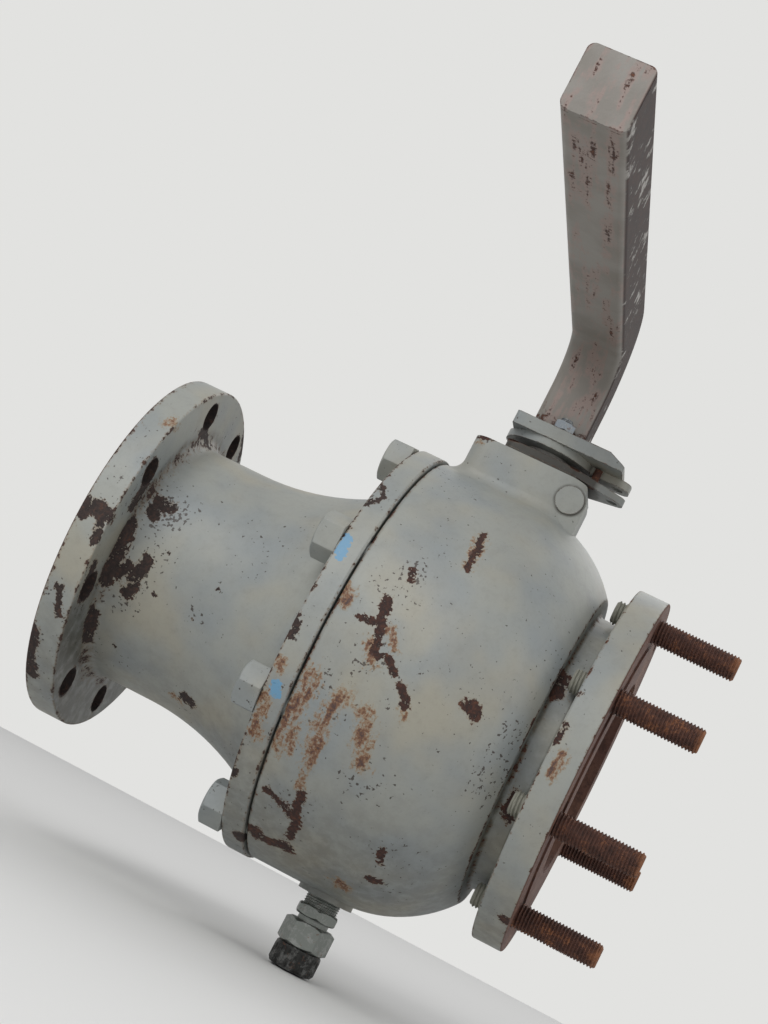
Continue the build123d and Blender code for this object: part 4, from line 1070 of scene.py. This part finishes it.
class VALVE_OT_drain(bpy.types.Operator):
    """Make the drain fitting: threaded nipple, two hexagons and a fluted cap"""

    bl_idname = "valve.drain"
    bl_label = "Drain fitting"
    bl_options = {"REGISTER", "UNDO"}

    def execute(self, context):
        threads = context.scene.valve_threads
        pitch = threads.nipple_pitch / MM
        place = (STEM_X, 0, 0)
        start, end = ADAPTOR_Z[1] - LAP, DRAIN_PAD_Z + NIPPLE_HIDDEN
        around = threads.around + 20
        nipple = thread_grid(NIPPLE_R, start, end, pitch, depth=0.9, chamfer=1.2, around=around)
        hexagon = hexagon_grid(ADAPTOR_ACROSS, *ADAPTOR_Z, turn=math.radians(12))
        zinc = plated_steel("drain zinc", linear(126, 130, 126))
        grids = placed("z", place, nipple, hexagon)
        adaptor = surface_object("drain_nipple", zinc, grids, soft=0.35)
        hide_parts("drain_adaptor")

        low, high = DRAIN_BODY_Z[1] - LAP, ADAPTOR_Z[0] + LAP
        neck = lathe([(0, low), (DRAIN_NECK_R, low), (DRAIN_NECK_R, high), (0, high)])
        hexagon = hexagon_grid(DRAIN_ACROSS, *DRAIN_BODY_Z, turn=math.radians(34))
        body = surface_object("drain_body", zinc, placed("z", place, neck, hexagon), soft=0.35)
        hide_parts("drain_valve")

        dark = plated_steel("drain cap steel", linear(50, 50, 49), white=0.22)
        cap = surface_object("drain_fluted_cap", dark, placed("z", place, self.cap_grid()))
        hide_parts("drain_cap")
        for piece in (adaptor, body):
            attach(piece, "valve")
        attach(cap, "valve")
        return {"FINISHED"}

    @staticmethod
    def cap_grid():
        """A cap over angle and profile, whose side dips by a cosine of the angle in a band.

        Each profile row is (step in from the cap's radius, height, share of the flutes' dip).
        """
        outside = (
            (1.4, 18.0, 0.0),
            (0.4, 17.1, 0.0),
            (0.2, 15.6, 0.0),
            (0.2, 15.0, 0.0),
            (0.0, 14.2, 1.0),
            (0.0, 9.0, 1.0),
            (0.0, 3.8, 1.0),
            (0.6, 2.8, 0.0),
            (1.6, 1.2, 0.0),
            (6.0, 0.0, 0.0),
            (11.0, 0.0, 0.0),
            (11.6, 0.8, 0.0),
        )
        profile = np.array([(CAP_R, 18.0, 0.0), *outside, (CAP_R, 0.8, 0.0)])
        angles = full_turn(CAP_FLUTES * 6)
        dip = 0.35 * (1 - np.cos(CAP_FLUTES * angles))
        radius = CAP_R - profile[:, :1] - dip * profile[:, 2:]
        return wound(radius, angles, DRAIN_CAP_Z + profile[:, 1:2])


class VALVE_OT_gland(bpy.types.Operator):
    """Finish the gland, its lock plates and stop pins, and make the socket head screws"""

    bl_idname = "valve.gland"
    bl_label = "Gland and lock plates"
    bl_options = {"REGISTER", "UNDO"}

    def execute(self, context):
        paint = context.scene.valve_paint
        # The lock plates' paint is darkened by the tone, and their square under the hub is painted black as
        # painted shade.
        plates = painted("lock plate paint", paint, edges=1.6, dirt_and_shade=plate_shade, tone=0.74)
        plates.dress("lock_plate", "gland_flange")
        rusty_steel("stop pin steel", dark=0.9, shine=0.5).dress("stop_pins")
        grids = []
        for turn in range(4):
            angle = math.radians(45 + 90 * turn)
            x, y = GLAND_SCREW_CIRCLE_R * math.cos(angle), GLAND_SCREW_CIRCLE_R * math.sin(angle)
            grids += placed("z", (STEM_X + x, y, 0), self.screw_grid(0.4 + turn))
        steel = rusty_steel("gland screw steel", dark=0.7, shine=0.5)
        piece = surface_object("gland_socket_screws", steel, grids)
        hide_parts("gland_screws")
        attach(piece, "valve")
        return {"FINISHED"}

    @staticmethod
    def screw_grid(turn):
        """A countersunk screw over angle and profile, whose socket rows follow a hexagon."""
        angles = full_turn(72)
        socket = hexagon_radius(angles, 5.0)
        low, top = GLAND_SCREW_Z
        outside = [(0, low), (3.6, low), (4.0, low + 0.6), (4.0, top - 3.5), (7.3, top - 0.2)]
        outside.append((7.2, top - 0.05))
        rows = [(np.full_like(angles, radius), height) for radius, height in outside]
        rows += [(socket * 1.08, top - 0.05), (socket, top - 0.3), (socket, top - 3.8)]
        rows.append((0 * socket, top - 4.4))
        radius = np.array([row[0] for row in rows])
        height = np.array([row[1] for row in rows])
        return wound(radius, angles + turn, height[:, None])


class VALVE_OT_lever(bpy.types.Operator):
    """Finish the lever and its head, and make the weld beads, nuts and bolt ends"""

    bl_idname = "valve.lever"
    bl_label = "Lever"
    bl_options = {"REGISTER", "UNDO"}

    def execute(self, context):
        pitch = context.scene.valve_threads.bolt_pitch / MM
        worn_paint("lever paint").dress("lever_arm", "lever_end_cap")
        head = painted("lever head paint", context.scene.valve_paint, edges=1.8, tone=0.86)
        head.dress("lever_head", "lever_lock_plate")

        grids = []
        for side, turn in ((-1, 10.0), (1, -18.0)):
            place = (HEAD_BOLT_X, side * HEAD_BOLT_Y, 0)
            low, top = HEAD_Z
            turn = math.radians(turn)
            nut = hexagon_grid(HEAD_NUT_ACROSS, top, top + HEAD_NUT_HIGH, turn=turn)
            start, end = top + HEAD_NUT_HIGH - 1.0, HEAD_BOLT_TOP_Z
            thread = thread_grid(HEAD_BOLT_R, start, end, pitch, depth=0.85, chamfer=1.0, around=28)
            shank = [(0, low), (HEAD_BOLT_R, low), (HEAD_BOLT_R, top + 1), (0, top + 1)]
            grids += placed("z", place, nut, thread, lathe(shank, 24))
        zinc = plated_steel("lever nut zinc", linear(118, 124, 130))
        nuts = surface_object("lever_head_nuts", zinc, grids, soft=0.25)
        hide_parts("lever_head_bolts")

        beads = [(self.bead_grid(side), True) for side in (-1, 1)]
        weld = surface_object("lever_weld_beads", worn_paint("weld paint"), beads, sharp=180.0)
        for piece in (nuts, weld):
            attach(piece, "ball_and_lever")
        return {"FINISHED"}

    @staticmethod
    def bead_grid(side):
        """A weld bead over length and angle: a fat line whose radius swells in small waves.

        Each section is a circle, its radius falling to nothing at both ends as a high power of
        the length, and each wave is drawn back at the sides, as beads freeze.
        """
        along = np.linspace(-1.0, 1.0, 120)[:, None]
        angles = full_turn(24)[None, :]
        lag = 0.9 * np.cos(angles)
        waves = np.abs(np.sin((along * 16.5 + lag) / 3.0 * math.pi)) ** 0.6
        radius = WELD_R * np.sqrt(np.maximum(1 - along**8, 0.0)) * (0.90 + 0.10 * waves)
        x = STEM_X + side * (LEVER_HALF + LAP + radius * np.cos(angles))
        z = HEAD_Z[1] + LAP + radius * np.sin(angles)
        return np.stack([x, WELD_HALF * along + 0 * x, z], axis=-1)


class VALVE_OT_trim(bpy.types.Operator):
    """Finish the ball, seats, stem, bearings, packing and gasket"""

    bl_idname = "valve.trim"
    bl_label = "Ball and trim"
    bl_options = {"REGISTER", "UNDO"}

    def execute(self, context):
        chrome = machined_steel("ball chrome", linear(196, 198, 200), 0.14, self.turning_lines)
        chrome.dress("ball")
        seat = machined_steel("seat steel", linear(150, 147, 142), 0.34, self.bore_lines)
        seat.dress("inlet_seat_ring", "outlet_seat_ring")
        insert = moulded("seat insert", linear(212, 205, 190), 0.45)
        insert.dress("inlet_seat_insert", "outlet_seat_insert")
        plates = machined_steel("plate steel", linear(124, 120, 116), 0.42)
        plates.dress("upper_trunnion_plate", "lower_trunnion_plate")
        bronze = machined_steel("bearing bronze", linear(158, 122, 72), 0.38)
        bronze.dress("upper_trunnion_bush", "lower_trunnion_bush")
        bronze.dress("stem_bearing", "stem_thrust_washer")
        machined_steel("stem steel", linear(146, 144, 140), 0.32, self.turning_lines).dress("stem")
        moulded("graphite packing", linear(58, 58, 60), 0.55).dress("stem_packing", "joint_gasket")
        return {"FINISHED"}

    @staticmethod
    def turning_lines(finish):
        """Fine waves along the stem's axis."""
        return finish.z.waves(0.6)

    @staticmethod
    def bore_lines(finish):
        """Fine waves of the distance from the bore's axis."""
        return finish.ring.waves(0.6)


class VALVE_OT_stage(bpy.types.Operator):
    """Set the pale floor and background, the soft lamps and the camera"""

    bl_idname = "valve.stage"
    bl_label = "Stage"
    bl_options = {"REGISTER", "UNDO"}

    def execute(self, context):
        stage = context.scene.valve_stage
        self.floor(tuple(stage.backdrop))
        self.world(context, tuple(stage.backdrop), stage.ambient)
        for name, direction, distance, size, share in LAMPS:
            self.lamp(name, Vector(direction), distance, size, stage.key * share)
        self.camera(context)
        context.scene.view_settings.view_transform = "Standard"
        return {"FINISHED"}

    @staticmethod
    def floor(colour):
        """A flat square wider than the view, just below the drain cap."""
        side = np.array([-1.0, 1.0]) * FLOOR_HALF
        x, y = np.meshgrid(side, side)
        points = np.stack([x, y, np.full_like(x, DRAIN_CAP_Z - FLOOR_GAP)], axis=-1)
        finish = Finish("stage floor", roughness=0.9)
        mottle = finish.noise(900.0, 2.0)
        finish.set("Base Color", finish.mix(colour, tuple(c * 0.97 for c in colour), mottle))
        floor = surface_object("stage_floor", finish, [(points, False)])

    @staticmethod
    def world(context, colour, ambient):
        """Even light from all round, with the backdrop's colour for what is seen directly."""
        world = bpy.data.worlds.new("studio")
        context.scene.world = world
        world.use_nodes = True
        studio = Nodes(world.node_tree)
        seen = studio.node("ShaderNodeLightPath", {}, {}, "Is Camera Ray")
        rays = seen.socket.node.outputs
        for ray in ("Is Glossy Ray", "Is Transmission Ray"):
            seen = seen.larger(Value(studio, rays[ray]))
        light = studio.mix((ambient, ambient, ambient * 1.02), colour, seen)
        studio.feed(studio.tree.nodes["Background"].inputs["Color"], light)

    @staticmethod
    def lamp(name, direction, distance, size, power):
        """A round soft lamp that looks at the aim from a direction and a distance."""
        lamp = bpy.data.lights.new(name, "AREA")
        lamp.shape = "DISK"
        lamp.size = size
        lamp.energy = power
        place = bpy.data.objects.new(name, lamp)
        place.location = LAMP_AIM + direction.normalized() * distance
        place.rotation_euler = direction.to_track_quat("Z", "Y").to_euler()
        bpy.context.scene.collection.objects.link(place)

    @staticmethod
    def camera(context):
        """The camera that the picture is taken with."""
        camera = bpy.data.objects.new("camera", bpy.data.cameras.new("camera"))
        camera.data.lens = CAMERA_LENS
        camera.data.clip_start = 0.05
        camera.location = CAMERA_PLACE
        camera.rotation_euler = tuple(math.radians(a) for a in CAMERA_TURN)
        context.scene.collection.objects.link(camera)
        context.scene.camera = camera


class VALVE_PT_panel(bpy.types.Panel):
    """Buttons and settings of the ball valve"""

    bl_idname = "VALVE_PT_panel"
    bl_label = "Ball valve"
    bl_space_type = "VIEW_3D"
    bl_region_type = "UI"
    bl_category = "Ball valve"

    def draw(self, context):
        for operator in OPERATORS:
            self.layout.operator(operator.bl_idname)
        for group in ("valve_paint", "valve_threads", "valve_stage"):
            settings = getattr(context.scene, group)
            box = self.layout.box()
            for key in settings.__annotations__:
                box.prop(settings, key)


OPERATORS = (
    VALVE_OT_stage,
    VALVE_OT_castings,
    VALVE_OT_joint_screws,
    VALVE_OT_outlet_studs,
    VALVE_OT_drain,
    VALVE_OT_gland,
    VALVE_OT_lever,
    VALVE_OT_trim,
)
GROUPS = {
    "valve_paint": ValvePaint,
    "valve_threads": ValveThreads,
    "valve_stage": ValveStage,
}


def register():
    for group in GROUPS.values():
        bpy.utils.register_class(group)
    for key, group in GROUPS.items():
        setattr(bpy.types.Scene, key, PointerProperty(type=group))
    for operator in OPERATORS:
        bpy.utils.register_class(operator)
    bpy.utils.register_class(VALVE_PT_panel)


def unregister():
    bpy.utils.unregister_class(VALVE_PT_panel)
    for operator in reversed(OPERATORS):
        bpy.utils.unregister_class(operator)
    for key in GROUPS:
        delattr(bpy.types.Scene, key)
    for group in reversed(list(GROUPS.values())):
        bpy.utils.unregister_class(group)


def main():
    register()
    bpy.ops.valve.stage()
    bpy.ops.valve.castings()
    bpy.ops.valve.joint_screws()
    bpy.ops.valve.outlet_studs()
    bpy.ops.valve.drain()
    bpy.ops.valve.gland()
    bpy.ops.valve.lever()
    bpy.ops.valve.trim()


if __name__ == "__main__":
    main()
